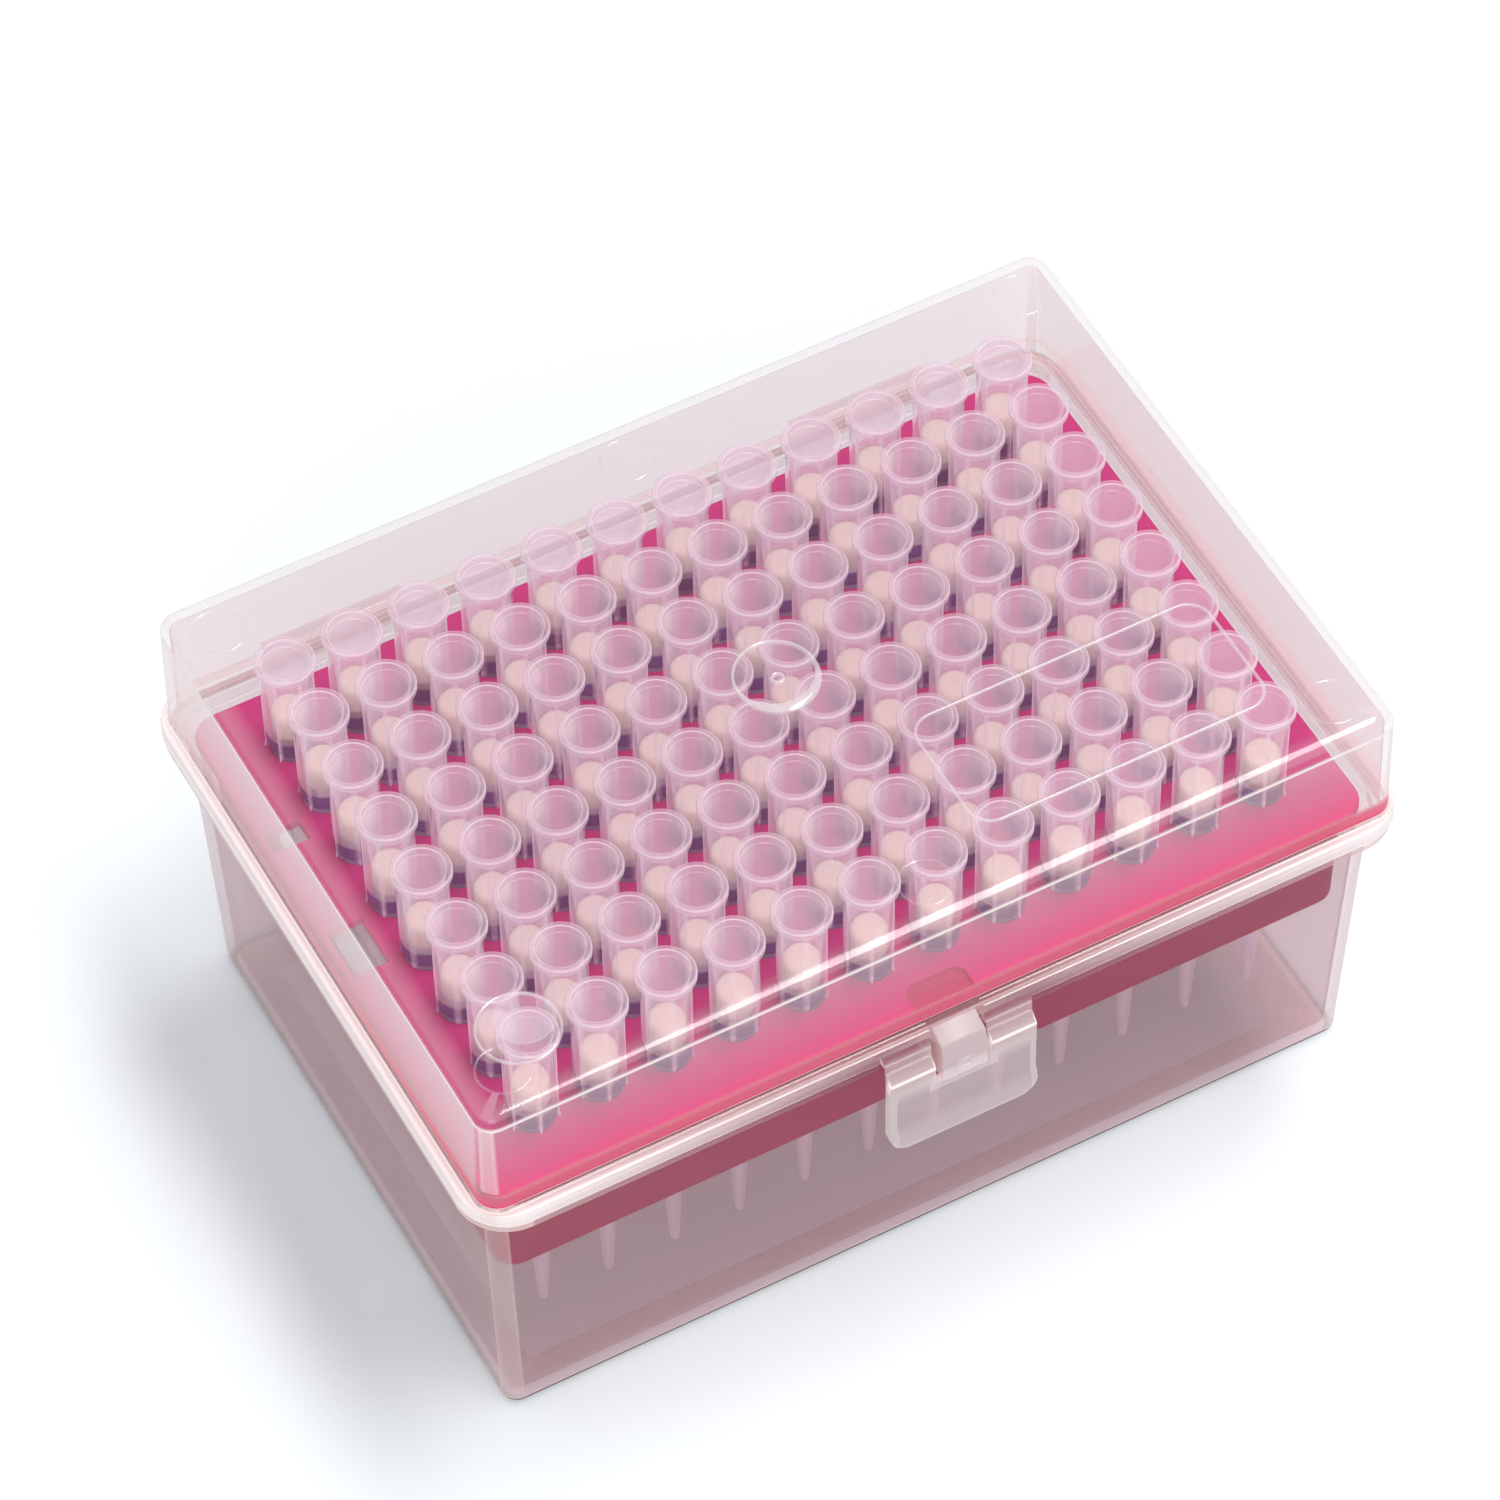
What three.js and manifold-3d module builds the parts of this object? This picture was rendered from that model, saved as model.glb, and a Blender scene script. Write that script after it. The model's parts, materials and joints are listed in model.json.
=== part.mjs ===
// A hinged-lid box of pipette tips: a see-through tray with a snap lid on two rear straps, a sprung
// front latch flap, a perforated rack, and ninety-six filter tips standing in it.
// Millimetres, +Z up, X along the twelve columns, the latch at -Y, Z = 0 under the tray.
import * as THREE from 'three';
import { mergeVertices } from 'three/addons/utils/BufferGeometryUtils.js';
import Module from 'manifold-3d';

const wasm = await Module();
wasm.setup();

// ---------- driving dimensions ----------

// the grid that every tip rack of this kind shares
const pitch = 9;
const columns = 12;
const rows = 8;
const looseRows = 4; // rows, from the front, whose tips are pieces of their own

// clearances
const restGap = 0.3; // between a piece and what it rests on
const holeClearance = 0.3; // tip shaft to rack hole, on the radius
const lidClearance = 0.45; // lid skirt to tray lip
const catchClearance = 0.7; // each side of the catch, in the lid and in the flap
const catchPlay = 0.55; // catch underside to the flap's sill
const foldGap = 0.3; // each side of a folding line

// tip
const tipLength = 54.3;
const ringRadius = 3.75;
const ringHeight = 1.2;
const mouthRadius = 3;
const collarRadius = 3.05;
const collarHeight = 14.7;
const shaftRadius = 2.6; // where the shaft leaves the collar
const pointRadius = 0.42;
const filterRadius = 2.35;
const filterDepth = 9.3; // ring face down to the filter
const tipSides = 8;

// rack
const plateMarginX = 10.2; // outermost column to the plate's edge
const plateMarginY = 8.9;
const plateThickness = 1.2;
const plateRadius = 3.5;
const rackSkirtInset = 1.7; // plate's edge to the skirt
const rackSkirtWall = 1.2;
const rackSkirtDrop = 17.2;
const rackDraft = 0.3;
const slotWidth = 4.8;
const slotLength = 7.4;
const slotInset = 3.2; // plate's edge to the slot's middle
const rearSlotLength = 3.2;
const rearSlotOffset = 19; // slot to slot, along the left edge
const windowWidth = 12;
const windowDrop = 5; // below the plate
const notchWidth = 8;
const notchDepth = 3.6;
const notchChamfer = 1;
const notchOffset = 1; // right of the middle

// tray
const ledgeHeight = 44; // the ledge that carries the rack
const trayWall = 1.1;
const trayDraft = 1.5;
const trayCorner = 2.3;
const footRound = 1.3;
const seatGapX = 0.8; // plate's edge to the recess
const seatGapY = 2;
const seatWidthX = 1.6; // ledge, wall to recess
const seatWidthY = 2.5;
const lipWall = 1.1;
const lipHeight = 1.9; // above the ledge
const lipCorner = 5.2;
const rimReach = 1.35; // flange beyond the lip
const rimThickness = 1;
const rimDrop = 0.1; // flange's underside below the ledge
const stepDrop = 1.5; // slope under the flange

// lid
const lidWall = 1.1;
const lidHeadroom = 1.9; // over the rings
const lidLedge = 1.65; // skirt's face out from the wall
const lidDraft = 0.3;
const lidCorner = 4.2;
const lidRound = 2.2;
const ceilingRound = 1.1;
const skirtRound = 0.4;
const ledgeTop = 1.1; // thickness of the ledge over the lip
const skirtCorner = 6.6;
const gateRadius = 5.7;
const gateRim = 0.7;
const gateHeight = 0.25;
const panelX = 29.5;
const panelY = -24.3;
const panelLength = 40.3;
const panelDepth = 18;
const panelCorner = 3;
const panelRim = 0.6;
const panelHeight = 0.2;

// rear straps
const strapLength = 19.4;
const strapOffset = 36.9; // middle of a strap from the box's middle
const strapReach = 1.45; // skirt's face to the folding line
const strapTop = 2.3; // folding line to the upper leaf's top
const strapDrop = 1.9; // folding line to the lower leaf's underside
const strapSink = 0.6; // into what carries it
const hingeHeight = 0.1; // folding line below the skirt's hem

// catch on the tray
const catchWidth = 6;
const catchReach = 6; // tray wall to the catch's face
const catchFace = 3.9; // height of the face
const catchBevel = 2.1;
const catchBevelIn = 0.6;
const catchDrop = 1; // top falls from back to ridge
const catchBack = 0.3; // behind which the lid's wall stands

// latch flap
const flapWidth = 20;
const flapDrop = 14.2; // fold to the flap's bottom edge, less the gap
const flapThickness = 1.4;
const flapSetback = 0.15; // flap's back in front of the folding line
const flapCorner = 2.5;
const flapSlope = 1.6; // slanted top face
const gripHeight = 4.3;
const gripKick = 0.6;
const gripSlope = 1.6;
const foldDrop = 1.5; // folding line below the skirt's hem
const webClearance = 0.5; // each side of the flap, in the flange

// faceting
const cornerSteps = 4;
const roundSteps = 3;
const gateSteps = 8;

// ---------- sizes that follow ----------

const gridHalfX = ((columns - 1) * pitch) / 2;
const gridHalfY = ((rows - 1) * pitch) / 2;
const plateHalfX = gridHalfX + plateMarginX;
const plateHalfY = gridHalfY + plateMarginY;
const plateBottomZ = ledgeHeight + restGap;
const plateTopZ = plateBottomZ + plateThickness;
const collarBottomZ = plateTopZ + restGap;
const ringBottomZ = collarBottomZ + collarHeight;
const ringTopZ = ringBottomZ + ringHeight;
const pointZ = ringTopZ - tipLength;

const rackSkirtHalfX = plateHalfX - rackSkirtInset;
const rackSkirtHalfY = plateHalfY - rackSkirtInset;
const rackBottomZ = plateBottomZ - rackSkirtDrop;

const recessHalfX = plateHalfX + seatGapX;
const recessHalfY = plateHalfY + seatGapY;
const trayInsideX = recessHalfX - seatWidthX;
const trayInsideY = recessHalfY - seatWidthY;
const trayHalfX = trayInsideX + trayWall;
const trayHalfY = trayInsideY + trayWall;
const lipHalfX = recessHalfX + lipWall;
const lipHalfY = recessHalfY + lipWall;
const rimHalfX = lipHalfX + rimReach;
const rimHalfY = lipHalfY + rimReach;
const lipTopZ = ledgeHeight + lipHeight;
const rimBottomZ = ledgeHeight - rimDrop;
const rimTopZ = rimBottomZ + rimThickness;
const stepZ = rimBottomZ - stepDrop;

const skirtInsideX = lipHalfX + lidClearance;
const skirtInsideY = lipHalfY + lidClearance;
const skirtHalfX = skirtInsideX + lidWall;
const skirtHalfY = skirtInsideY + lidWall;
const skirtHemZ = rimTopZ + restGap;
const ledgeUnderZ = lipTopZ + restGap;
const ledgeTopZ = ledgeUnderZ + ledgeTop;
const lidFootX = skirtHalfX - lidLedge;
const lidFootY = skirtHalfY - lidLedge;
const ceilingZ = ringTopZ + lidHeadroom;
const lidTopZ = ceilingZ + lidWall;

const hingeY = skirtHalfY + strapReach;
const hingeZ = skirtHemZ - hingeHeight;
const foldY = -skirtHalfY;
const foldZ = skirtHemZ - foldDrop;

const catchFaceY = -trayHalfY - catchReach;
const catchBackY = -lidFootY - catchBack;
const catchBackZ = lipTopZ + restGap;
const catchRidgeZ = catchBackZ - catchDrop;
const catchUnderZ = catchRidgeZ - catchBevel - catchFace;
const catchGapHalf = catchWidth / 2 + catchClearance;

// ---------- helpers ----------

// Points of a rounded rectangle, counter-clockwise seen from above.
function roundedRectangle(halfX, halfY, radius) {
  const points = [];
  for (const [turn, signX, signY] of [[0, 1, 1], [1, -1, 1], [2, -1, -1], [3, 1, -1]]) {
    for (let step = 0; step <= cornerSteps; step += 1) {
      const angle = (turn + step / cornerSteps) * (Math.PI / 2);
      points.push(new THREE.Vector2(
        signX * (halfX - radius) + radius * Math.cos(angle),
        signY * (halfY - radius) + radius * Math.sin(angle),
      ));
    }
  }
  return points;
}

// One closed body through rounded-rectangle sections: a flat cap on the first, a wall from each
// section to the next, and a flat cap on the last. Going up makes an outer wall, going down an inner one.
function shellThrough(sections) {
  const rings = sections.map(({ halfX, halfY, radius }) => roundedRectangle(halfX, halfY, radius));
  const count = rings[0].length;
  const positions = [];
  rings.forEach((ring, level) => {
    ring.forEach((point) => positions.push(point.x, point.y, sections[level].z));
  });
  const faces = [];
  for (let k = 1; k < count - 1; k += 1) {
    faces.push(0, k + 1, k);
  }
  for (let level = 0; level < rings.length - 1; level += 1) {
    for (let k = 0; k < count; k += 1) {
      const here = level * count + k;
      const beside = level * count + ((k + 1) % count);
      faces.push(here, beside, beside + count, here, beside + count, here + count);
    }
  }
  const last = (rings.length - 1) * count;
  for (let k = 1; k < count - 1; k += 1) {
    faces.push(last, last + k, last + k + 1);
  }
  const geometry = new THREE.BufferGeometry();
  geometry.setAttribute('position', new THREE.Float32BufferAttribute(positions, 3));
  geometry.setIndex(faces);
  return geometry;
}

// Sections from a flat face round its edge to the wall beside it. The wall goes up from the face
// where away is 1, and down where it is -1.
function quarterRound(face, round, away) {
  const sections = [];
  for (let step = 0; step <= roundSteps; step += 1) {
    const angle = (step / roundSteps) * (Math.PI / 2);
    const inset = round * (1 - Math.sin(angle));
    sections.push({
      halfX: face.halfX - inset,
      halfY: face.halfY - inset,
      radius: face.radius - inset,
      z: face.z + away * round * (1 - Math.cos(angle)),
    });
  }
  return sections;
}

function section(halfX, halfY, radius, z) {
  return { halfX, halfY, radius, z };
}

// A three.js geometry as a solid: shared vertices merged, and triangles without area left out.
function solidOf(geometry) {
  const bare = geometry.clone();
  bare.deleteAttribute('normal');
  bare.deleteAttribute('uv');
  const merged = mergeVertices(bare, 1e-4);
  const index = merged.index.array;
  const triangles = [];
  for (let k = 0; k < index.length; k += 3) {
    const [a, b, c] = [index[k], index[k + 1], index[k + 2]];
    if (a !== b && b !== c && c !== a) {
      triangles.push(a, b, c);
    }
  }
  return new wasm.Manifold(new wasm.Mesh({
    numProp: 3,
    vertProperties: new Float32Array(merged.attributes.position.array),
    triVerts: new Uint32Array(triangles),
  }));
}

function geometryOf(solid) {
  const mesh = solid.getMesh();
  const geometry = new THREE.BufferGeometry();
  geometry.setAttribute('position', new THREE.BufferAttribute(mesh.vertProperties, 3));
  geometry.setIndex(new THREE.BufferAttribute(mesh.triVerts, 1));
  return geometry;
}

// A box between two corners.
function blockSolid(low, high) {
  const size = new THREE.Vector3().subVectors(high, low);
  const middle = new THREE.Vector3().addVectors(low, high).multiplyScalar(0.5);
  const geometry = new THREE.BoxGeometry(size.x, size.y, size.z);
  geometry.translate(middle.x, middle.y, middle.z);
  return solidOf(geometry);
}

// A side profile, given as [y, z] points, carried from one x to another.
function profileSolid(points, fromX, toX) {
  const shape = new THREE.Shape(points.map(([y, z]) => new THREE.Vector2(y, z)));
  const geometry = new THREE.ExtrudeGeometry(shape, { depth: toX - fromX, bevelEnabled: false });
  geometry.applyMatrix4(new THREE.Matrix4().makeBasis(
    new THREE.Vector3(0, 1, 0),
    new THREE.Vector3(0, 0, 1),
    new THREE.Vector3(1, 0, 0),
  ));
  geometry.translate(fromX, 0, 0);
  return solidOf(geometry);
}

// A flat plan outline, given as a shape in X and Y, carried from one height to another.
function planSolid(shape, fromZ, toZ) {
  const geometry = new THREE.ExtrudeGeometry(shape, {
    depth: toZ - fromZ,
    bevelEnabled: false,
    curveSegments: cornerSteps,
  });
  geometry.translate(0, 0, fromZ);
  return solidOf(geometry);
}

function columnX(column) {
  return column * pitch - gridHalfX;
}

function rowY(row) {
  return row * pitch - gridHalfY;
}

// ---------- tip ----------

// The filter closes the bore, and the shaft below it is the solid outer form of the taper. The
// collar's underside sits at seatZ.
function tipGeometry(seatZ) {
  const profile = [
    [0, pointZ],
    [pointRadius, pointZ],
    [shaftRadius, seatZ],
    [collarRadius, seatZ],
    [collarRadius, ringBottomZ],
    [ringRadius, ringBottomZ],
    [ringRadius, ringTopZ],
    [mouthRadius, ringTopZ],
    [filterRadius, ringTopZ - filterDepth],
    [0, ringTopZ - filterDepth],
  ];
  const geometry = new THREE.LatheGeometry(
    profile.map(([radius, height]) => new THREE.Vector2(radius, height)),
    tipSides,
  );
  geometry.rotateX(Math.PI / 2);
  return geometry;
}

// ---------- rack ----------

function rackShell() {
  const skirtInsideHalfX = rackSkirtHalfX - rackSkirtWall;
  const skirtInsideHalfY = rackSkirtHalfY - rackSkirtWall;
  const skirtRadius = plateRadius - rackSkirtInset + rackSkirtWall;
  return solidOf(shellThrough([
    section(skirtInsideHalfX, skirtInsideHalfY, skirtRadius - rackSkirtWall, plateBottomZ),
    section(skirtInsideHalfX - rackDraft, skirtInsideHalfY - rackDraft, skirtRadius - rackSkirtWall, rackBottomZ),
    section(rackSkirtHalfX - rackDraft, rackSkirtHalfY - rackDraft, skirtRadius, rackBottomZ),
    section(rackSkirtHalfX, rackSkirtHalfY, skirtRadius, plateBottomZ),
    section(plateHalfX, plateHalfY, plateRadius, plateBottomZ),
    section(plateHalfX, plateHalfY, plateRadius, plateTopZ),
  ]));
}

// A hole for the shaft of each tip that lifts out.
function rackHoles() {
  const holes = [];
  const geometry = new THREE.CylinderGeometry(
    shaftRadius + holeClearance,
    shaftRadius + holeClearance,
    3 * plateThickness,
    tipSides,
  );
  geometry.rotateX(Math.PI / 2);
  for (let row = 0; row < looseRows; row += 1) {
    for (let column = 0; column < columns; column += 1) {
      const hole = geometry.clone();
      hole.translate(columnX(column), rowY(row), plateBottomZ + plateThickness / 2);
      holes.push(solidOf(hole));
    }
  }
  return holes;
}

// The two slots and the side window at the left end, and the finger notch at the front.
function rackCuts() {
  const below = plateBottomZ - plateThickness;
  const above = plateTopZ + plateThickness;
  const slotX = -plateHalfX + slotInset;
  const slots = [
    { y: 0, length: slotLength },
    { y: rearSlotOffset, length: rearSlotLength },
  ].map(({ y, length }) => blockSolid(
    new THREE.Vector3(slotX - slotWidth / 2, y - length / 2, below),
    new THREE.Vector3(slotX + slotWidth / 2, y + length / 2, above),
  ));
  const window = blockSolid(
    new THREE.Vector3(-plateHalfX, -windowWidth / 2, plateBottomZ - windowDrop),
    new THREE.Vector3(-rackSkirtHalfX + 2 * rackSkirtWall, windowWidth / 2, plateBottomZ - restGap),
  );
  const notch = new THREE.Shape();
  notch.moveTo(notchOffset - notchWidth / 2, -plateHalfY - plateThickness);
  notch.lineTo(notchOffset + notchWidth / 2, -plateHalfY - plateThickness);
  notch.lineTo(notchOffset + notchWidth / 2, -plateHalfY + notchDepth - notchChamfer);
  notch.lineTo(notchOffset + notchWidth / 2 - notchChamfer, -plateHalfY + notchDepth);
  notch.lineTo(notchOffset - notchWidth / 2 + notchChamfer, -plateHalfY + notchDepth);
  notch.lineTo(notchOffset - notchWidth / 2, -plateHalfY + notchDepth - notchChamfer);
  return [...slots, window, planSolid(notch, plateTopZ - plateThickness / 2, above)];
}

// The back rows' tips, one body with the rack: their collars run down into the plate.
function fusedTips() {
  const tip = tipGeometry(plateBottomZ + plateThickness / 2);
  const tips = [];
  for (let row = looseRows; row < rows; row += 1) {
    for (let column = 0; column < columns; column += 1) {
      const standing = tip.clone();
      standing.translate(columnX(column), rowY(row), 0);
      tips.push(solidOf(standing));
    }
  }
  return tips;
}

function rackGeometry() {
  const cut = wasm.Manifold.union([...rackHoles(), ...rackCuts()]);
  return geometryOf(wasm.Manifold.union([rackShell().subtract(cut), ...fusedTips()]));
}

// ---------- tray ----------

function trayShell() {
  const footHalfX = trayHalfX - trayDraft;
  const footHalfY = trayHalfY - trayDraft;
  const insideRadius = trayCorner - trayWall;
  return solidOf(shellThrough([
    ...quarterRound(section(footHalfX, footHalfY, trayCorner, 0), footRound, 1),
    section(trayHalfX, trayHalfY, trayCorner, stepZ),
    section(lipHalfX, lipHalfY, lipCorner, rimBottomZ),
    section(rimHalfX, rimHalfY, lipCorner + rimReach, rimBottomZ),
    section(rimHalfX, rimHalfY, lipCorner + rimReach, rimTopZ),
    section(lipHalfX, lipHalfY, lipCorner, rimTopZ),
    section(lipHalfX, lipHalfY, lipCorner, lipTopZ),
    section(recessHalfX, recessHalfY, lipCorner - lipWall, lipTopZ),
    section(recessHalfX, recessHalfY, lipCorner - lipWall, ledgeHeight),
    section(trayInsideX, trayInsideY, insideRadius, ledgeHeight),
    section(footHalfX - trayWall, footHalfY - trayWall, insideRadius, trayWall),
  ]));
}

// The block that the flap's window snaps under: a flat face, a bevel, and a top that rises to the lip.
function catchSolid() {
  const insideWall = -trayHalfY + trayWall / 2;
  const insideLip = -lipHalfY + lipWall / 2;
  return profileSolid([
    [insideWall, catchUnderZ],
    [insideWall, stepZ + restGap],
    [insideLip, rimBottomZ + restGap],
    [insideLip, lipTopZ - restGap],
    [catchBackY, catchBackZ],
    [catchFaceY + catchBevelIn, catchRidgeZ],
    [catchFaceY, catchRidgeZ - catchBevel],
    [catchFaceY, catchUnderZ],
  ], -catchWidth / 2, catchWidth / 2);
}

// The flange stops where the flap's web passes in front of it.
function webNotch() {
  const halfWidth = flapWidth / 2 + webClearance;
  return blockSolid(
    new THREE.Vector3(-halfWidth, -rimHalfY - rimReach, rimBottomZ - restGap),
    new THREE.Vector3(halfWidth, -lipHalfY, rimTopZ + restGap),
  );
}

function lowerLeaf(side) {
  const middle = side * strapOffset;
  return blockSolid(
    new THREE.Vector3(middle - strapLength / 2, rimHalfY - strapSink, hingeZ - strapDrop),
    new THREE.Vector3(middle + strapLength / 2, hingeY, hingeZ - foldGap),
  );
}

function trayGeometry() {
  return geometryOf(wasm.Manifold.union([
    trayShell().subtract(webNotch()),
    catchSolid(),
    lowerLeaf(-1),
    lowerLeaf(1),
  ]));
}

// ---------- lid ----------

function lidShell() {
  const topX = lidFootX - lidDraft;
  const topY = lidFootY - lidDraft;
  const insideRadius = lidCorner - lidWall;
  const skirtInsideRadius = skirtCorner - lidWall;
  return solidOf(shellThrough([
    ...quarterRound(section(topX - lidWall, topY - lidWall, insideRadius, ceilingZ), ceilingRound, -1),
    section(lidFootX - lidWall, lidFootY - lidWall, insideRadius, ledgeUnderZ),
    section(skirtInsideX, skirtInsideY, skirtInsideRadius, ledgeUnderZ),
    section(skirtInsideX, skirtInsideY, skirtInsideRadius, skirtHemZ),
    section(skirtHalfX, skirtHalfY, skirtCorner, skirtHemZ),
    section(skirtHalfX, skirtHalfY, skirtCorner, ledgeTopZ - skirtRound),
    section(skirtHalfX - skirtRound, skirtHalfY - skirtRound, skirtCorner - skirtRound, ledgeTopZ),
    section(lidFootX, lidFootY, lidCorner, ledgeTopZ),
    ...quarterRound(section(topX, topY, lidCorner, lidTopZ), lidRound, -1).reverse(),
  ]));
}

// The ring left by the moulding gate in the middle of the top.
function gateRing() {
  const shape = new THREE.Shape().absarc(0, 0, gateRadius, 0, 2 * Math.PI, false);
  shape.holes.push(new THREE.Path().absarc(0, 0, gateRadius - gateRim, 0, 2 * Math.PI, true));
  const geometry = new THREE.ExtrudeGeometry(shape, {
    depth: gateHeight + lidWall / 2,
    bevelEnabled: false,
    curveSegments: gateSteps,
  });
  geometry.translate(0, 0, lidTopZ - lidWall / 2);
  return solidOf(geometry);
}

// The raised outline of a bare writing panel.
function panelFrame() {
  const outer = roundedRectangle(panelLength / 2, panelDepth / 2, panelCorner);
  const inner = roundedRectangle(
    panelLength / 2 - panelRim,
    panelDepth / 2 - panelRim,
    panelCorner - panelRim,
  );
  const shape = new THREE.Shape(outer);
  shape.holes.push(new THREE.Path(inner.reverse()));
  const frame = planSolid(shape, lidTopZ - lidWall / 2, lidTopZ + panelHeight);
  return frame.translate([panelX, panelY, 0]);
}

// The skirt drops as a web in front of the lip, down to the flap's folding line.
function foldWeb() {
  return blockSolid(
    new THREE.Vector3(-flapWidth / 2, -skirtHalfY, foldZ + foldGap),
    new THREE.Vector3(flapWidth / 2, -skirtInsideY, ledgeUnderZ),
  );
}

// The way through ledge, skirt and web for the catch.
function catchGap() {
  return blockSolid(
    new THREE.Vector3(-catchGapHalf, -skirtHalfY - lidWall, foldZ - lidWall),
    new THREE.Vector3(catchGapHalf, -lidFootY, ledgeTopZ + lidWall),
  );
}

function upperLeaf(side) {
  const middle = side * strapOffset;
  return blockSolid(
    new THREE.Vector3(middle - strapLength / 2, skirtHalfY - strapSink, hingeZ + foldGap),
    new THREE.Vector3(middle + strapLength / 2, hingeY, hingeZ + strapTop),
  );
}

function lidGeometry() {
  const body = wasm.Manifold.union([
    lidShell(),
    foldWeb(),
    gateRing(),
    panelFrame(),
    upperLeaf(-1),
    upperLeaf(1),
  ]);
  return geometryOf(body.subtract(catchGap()));
}

// ---------- latch flap ----------

// Seen from the front: a plate with round lower corners and a window open to the fold.
function flapOutline() {
  const half = flapWidth / 2;
  const top = -foldGap;
  const bottom = -flapDrop - foldGap;
  const sill = catchUnderZ - catchPlay - foldZ;
  const shape = new THREE.Shape();
  shape.moveTo(-half, top);
  shape.lineTo(-half, bottom + flapCorner);
  shape.absarc(-half + flapCorner, bottom + flapCorner, flapCorner, Math.PI, 1.5 * Math.PI, false);
  shape.lineTo(half - flapCorner, bottom);
  shape.absarc(half - flapCorner, bottom + flapCorner, flapCorner, 1.5 * Math.PI, 2 * Math.PI, false);
  shape.lineTo(half, top);
  shape.lineTo(catchGapHalf, top);
  shape.lineTo(catchGapHalf, sill);
  shape.lineTo(-catchGapHalf, sill);
  shape.lineTo(-catchGapHalf, top);
  return shape;
}

// The outline's thickness comes from the side profile: a slanted top, a flat face, a grip that kicks out.
function flapGeometry() {
  const back = foldY - flapSetback;
  const face = back - flapThickness;
  const bottomZ = foldZ - foldGap - flapDrop;
  const gripZ = bottomZ + gripHeight;
  const profile = profileSolid([
    [back, bottomZ - foldGap],
    [face - gripKick, bottomZ - foldGap],
    [face - gripKick, gripZ - gripSlope],
    [face, gripZ],
    [face, foldZ - foldGap - flapSlope],
    [back, foldZ - foldGap],
  ], -flapWidth, flapWidth);
  const plate = new THREE.ExtrudeGeometry(flapOutline(), {
    depth: 4 * flapThickness,
    bevelEnabled: false,
    curveSegments: cornerSteps,
  });
  plate.rotateX(Math.PI / 2);
  plate.translate(0, back + flapThickness, foldZ);
  return geometryOf(solidOf(plate).intersect(profile));
}

// ---------- materials ----------

const clearPlastic = new THREE.MeshStandardMaterial({
  color: 0xd9c6cc,
  roughness: 0.18,
  metalness: 0,
  transparent: true,
  opacity: 0.38,
});
const latchPlastic = new THREE.MeshStandardMaterial({
  color: 0xd8ccd2,
  roughness: 0.25,
  metalness: 0,
  transparent: true,
  opacity: 0.6,
});
const rackPlastic = new THREE.MeshStandardMaterial({ color: 0xc93878, roughness: 0.35, metalness: 0 });
const tipPlastic = new THREE.MeshStandardMaterial({ color: 0xe3cfd6, roughness: 0.22, metalness: 0 });

// ---------- the box ----------

const pipetteTipBox = new THREE.Group();

function addPiece(name, geometry, material) {
  const mesh = new THREE.Mesh(geometry, material);
  mesh.name = name;
  pipetteTipBox.add(mesh);
  return mesh;
}

addPiece('tray', trayGeometry(), clearPlastic);
addPiece('tip_rack', rackGeometry(), rackPlastic);
addPiece('lid', lidGeometry(), clearPlastic);
addPiece('latch_flap', flapGeometry(), latchPlastic);

const tip = tipGeometry(collarBottomZ);
const rowLetters = 'hgfedcba'; // front row to back row
for (let row = 0; row < looseRows; row += 1) {
  for (let column = 0; column < columns; column += 1) {
    const standing = addPiece(`tip_${rowLetters[row]}${column + 1}`, tip, tipPlastic);
    standing.position.set(columnX(column), rowY(row), 0);
  }
}

export default pipetteTipBox;
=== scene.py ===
# %% [markdown]
# # A box of pipette tips
# The object is a hinged laboratory box: a milky tray, a clearer snap lid, a magenta rack and
# ninety-six filter tips. Nearly all of it is moulded polypropylene, so the lesson is about one plastic
# seen at many thicknesses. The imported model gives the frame, and each piece here is fitted to it.

# %% Load the frame
import json
import math

import bmesh
import bpy
import numpy as np
from mathutils import Matrix, Vector


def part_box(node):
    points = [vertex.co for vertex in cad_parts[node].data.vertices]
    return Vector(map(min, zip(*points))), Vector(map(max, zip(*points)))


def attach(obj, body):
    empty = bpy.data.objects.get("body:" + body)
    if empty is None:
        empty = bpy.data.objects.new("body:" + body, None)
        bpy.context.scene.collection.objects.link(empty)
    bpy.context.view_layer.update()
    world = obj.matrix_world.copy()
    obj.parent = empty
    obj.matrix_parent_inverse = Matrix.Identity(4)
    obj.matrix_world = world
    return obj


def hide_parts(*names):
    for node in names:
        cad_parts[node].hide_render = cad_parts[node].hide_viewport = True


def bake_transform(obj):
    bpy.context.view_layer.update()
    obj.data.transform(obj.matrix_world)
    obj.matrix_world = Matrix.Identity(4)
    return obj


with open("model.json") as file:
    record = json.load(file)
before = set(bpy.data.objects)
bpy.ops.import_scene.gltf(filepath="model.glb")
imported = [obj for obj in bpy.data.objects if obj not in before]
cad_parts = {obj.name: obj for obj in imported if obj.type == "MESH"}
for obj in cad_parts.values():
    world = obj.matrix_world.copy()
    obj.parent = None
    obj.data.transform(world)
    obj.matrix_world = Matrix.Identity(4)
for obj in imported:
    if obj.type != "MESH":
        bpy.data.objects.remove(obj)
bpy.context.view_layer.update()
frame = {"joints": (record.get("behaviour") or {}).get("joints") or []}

MM = 0.001


def box_mm(node):
    """Lowest and highest corner of a CAD node, in millimetres."""
    low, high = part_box(node)
    return np.array(low) / MM, np.array(high) / MM


# %% [markdown]
# ## Sizes
# Lengths are in millimetres until a mesh is made. The tips give the grid, the rack gives the plate,
# and the lid and the tray grow from it by the walls and clearances of the real moulding. Every place
# could be typed in by hand, but sizes that grow from one another keep each clearance when one changes.

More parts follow.
